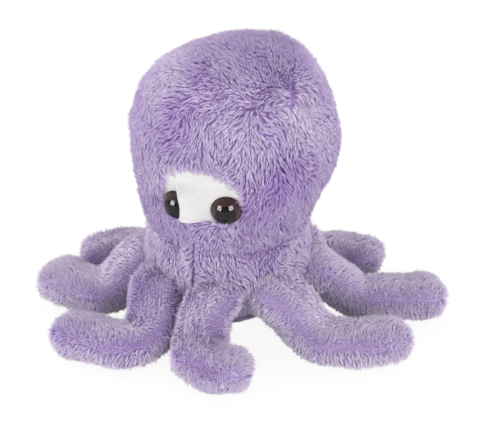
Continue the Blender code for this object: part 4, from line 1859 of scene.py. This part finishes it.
@dataclass
class Studio:
    """The white floor, the soft lamps and the camera."""

    aim: tuple = (0, 0, 0.05)
    azimuth: float = math.radians(18)
    elevation: float = math.radians(25.9)
    distance: float = 0.569
    lens: float = 97.74
    shift: tuple = (0.0411, -0.0144)
    air: float = 1.10
    room_light: float = 0.35
    floor_size: float = 6
    floor_white: float = 0.90
    floor_glow: float = 1.04
    floor_glow_share: float = 0.88

    def toward(self, azimuth: float, elevation: float, distance: float) -> Vector:
        """Gives a place at an azimuth, an elevation and a distance from what the camera aims at.

        Args:
            azimuth: Angle about the vertical axis, in radians.
            elevation: Angle above the floor, in radians.
            distance: How far away the place is.

        Returns:
            The place.
        """
        return Vector(self.aim) + Vector(
            on_bearing(azimuth, distance * math.cos(elevation), distance * math.sin(elevation))
        )

    def seen_through(self, shader: Shader) -> Value:
        """Gives 1 for what the camera sees, by itself or in gloss or glass.

        Args:
            shader: The tree that asks.

        Returns:
            The number, for that tree.
        """
        path = shader.node("ShaderNodeLightPath")
        camera = Value(shader, path.outputs["Is Camera Ray"])
        glossy = Value(shader, path.outputs["Is Glossy Ray"])
        return camera.peak(glossy).peak(Value(shader, path.outputs["Is Transmission Ray"]))

    def build_floor(self) -> None:
        """Makes the floor, which keeps a faint shadow."""
        floor = added(bpy.ops.mesh.primitive_plane_add, size=self.floor_size)
        floor.name = "studio_floor"
        made = bpy.data.materials.new("studio_white")
        shader = Shader(made)
        paint = shader.node("ShaderNodeBsdfDiffuse", None, {"Color": (*[self.floor_white] * 3, 1)})
        glow = shader.node("ShaderNodeEmission", None, {"Color": (1, 1, 1, 1), "Strength": self.floor_glow})
        share = self.seen_through(shader) * self.floor_glow_share
        sockets = {0: share, 1: paint.outputs[0], 2: glow.outputs[0]}
        shader.close("ShaderNodeMixShader", sockets)
        floor.data.materials.append(made)

    def build_lamps(self) -> None:
        """Makes the lamps, the eyes' glints and the surround, which lights less from behind the camera."""
        world = bpy.data.worlds.new("studio_air")
        bpy.context.scene.world = world
        shader = Shader(world, "ShaderNodeOutputWorld")
        seen = self.seen_through(shader)
        direction = shader.node("ShaderNodeTexCoord").outputs["Generated"]
        behind = tuple(on_bearing(self.azimuth, 1, 0))
        facing = shader.node("ShaderNodeVectorMath", {"operation": "DOT_PRODUCT"}, {0: direction, 1: behind})
        room = shader.node(
            "ShaderNodeMapRange",
            {"interpolation_type": "SMOOTHSTEP"},
            {
                "Value": facing.outputs["Value"],
                "From Min": -0.1,
                "From Max": 0.35,
                "To Min": 1.0,
                "To Max": self.room_light,
            },
        )
        strength = (seen * (1 - self.air) + self.air) * Value(shader, room.outputs[0])
        strength = strength.peak(Value(shader, shader.node("ShaderNodeLightPath").outputs["Is Camera Ray"]))
        sockets = {"Color": (1, 1, 1, 1), "Strength": strength}
        shader.close("ShaderNodeBackground", sockets)
        for lamp in LAMPS:
            light = bpy.data.lights.new(lamp.name, "AREA")
            light.shape = "SQUARE"
            light.size = lamp.size
            light.energy = lamp.power
            box = bpy.data.objects.new(lamp.name, light)
            bpy.context.scene.collection.objects.link(box)
            angles = math.radians(lamp.azimuth), math.radians(lamp.elevation)
            box.location = self.toward(*angles, lamp.distance)
            box.visible_glossy = lamp.glint
            box.visible_diffuse = not lamp.glint
            box.rotation_euler = (box.location - Vector(self.aim)).to_track_quat("Z", "Y").to_euler()

    def build_camera(self) -> None:
        """Makes the camera at the photograph's viewing angle."""
        data = bpy.data.cameras.new("photo_camera")
        data.lens = self.lens
        data.sensor_width = 36
        data.shift_x, data.shift_y = self.shift
        camera = bpy.data.objects.new("photo_camera", data)
        bpy.context.scene.collection.objects.link(camera)
        camera.location = self.toward(self.azimuth, self.elevation, self.distance)
        camera.rotation_euler = (camera.location - Vector(self.aim)).to_track_quat("Z", "Y").to_euler()
        bpy.context.scene.camera = camera


def dress_washers(nylon: Material) -> None:
    """Gives the two CAD washers their finish.

    Args:
        nylon: The washers' finish.
    """
    for name in ("left_eye_washer", "right_eye_washer"):
        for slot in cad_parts[name].material_slots:
            slot.material = nylon


def main() -> None:
    """Builds the studio and every sub-assembly."""
    logging.basicConfig(level=logging.INFO, format="%(name)s %(message)s")
    studio = Studio()
    studio.build_camera()
    studio.build_floor()
    studio.build_lamps()
    pile = PlushFinish().build()
    wadding = FibreFinish("white_wadding").build()
    head = Head()
    head.build_panels(pile)
    head.build_patch(VelourFinish().build())
    head.build_pad(wadding)
    iris = ResinFinish("brown_resin", (0.030, 0.013, 0.013), (0.060, 0.029, 0.029)).build()
    pupil = ResinFinish("black_resin", (0.003, 0.003, 0.003), (0.006, 0.006, 0.007), 0.03).build()
    for name, side, height in (("left_eye", -1, 0.0682), ("right_eye", 1, 0.0688)):
        Eye(name, side, head, height).build(iris, pupil)
    dress_washers(FibreFinish("matt_nylon", 900, 0.0001).build())
    BODY.build(pile, wadding)
    for arm in ARM_PLACES:
        arm.build(pile, wadding)
    bpy.context.scene.view_settings.view_transform = "Standard"


if __name__ == "__main__":
    main()
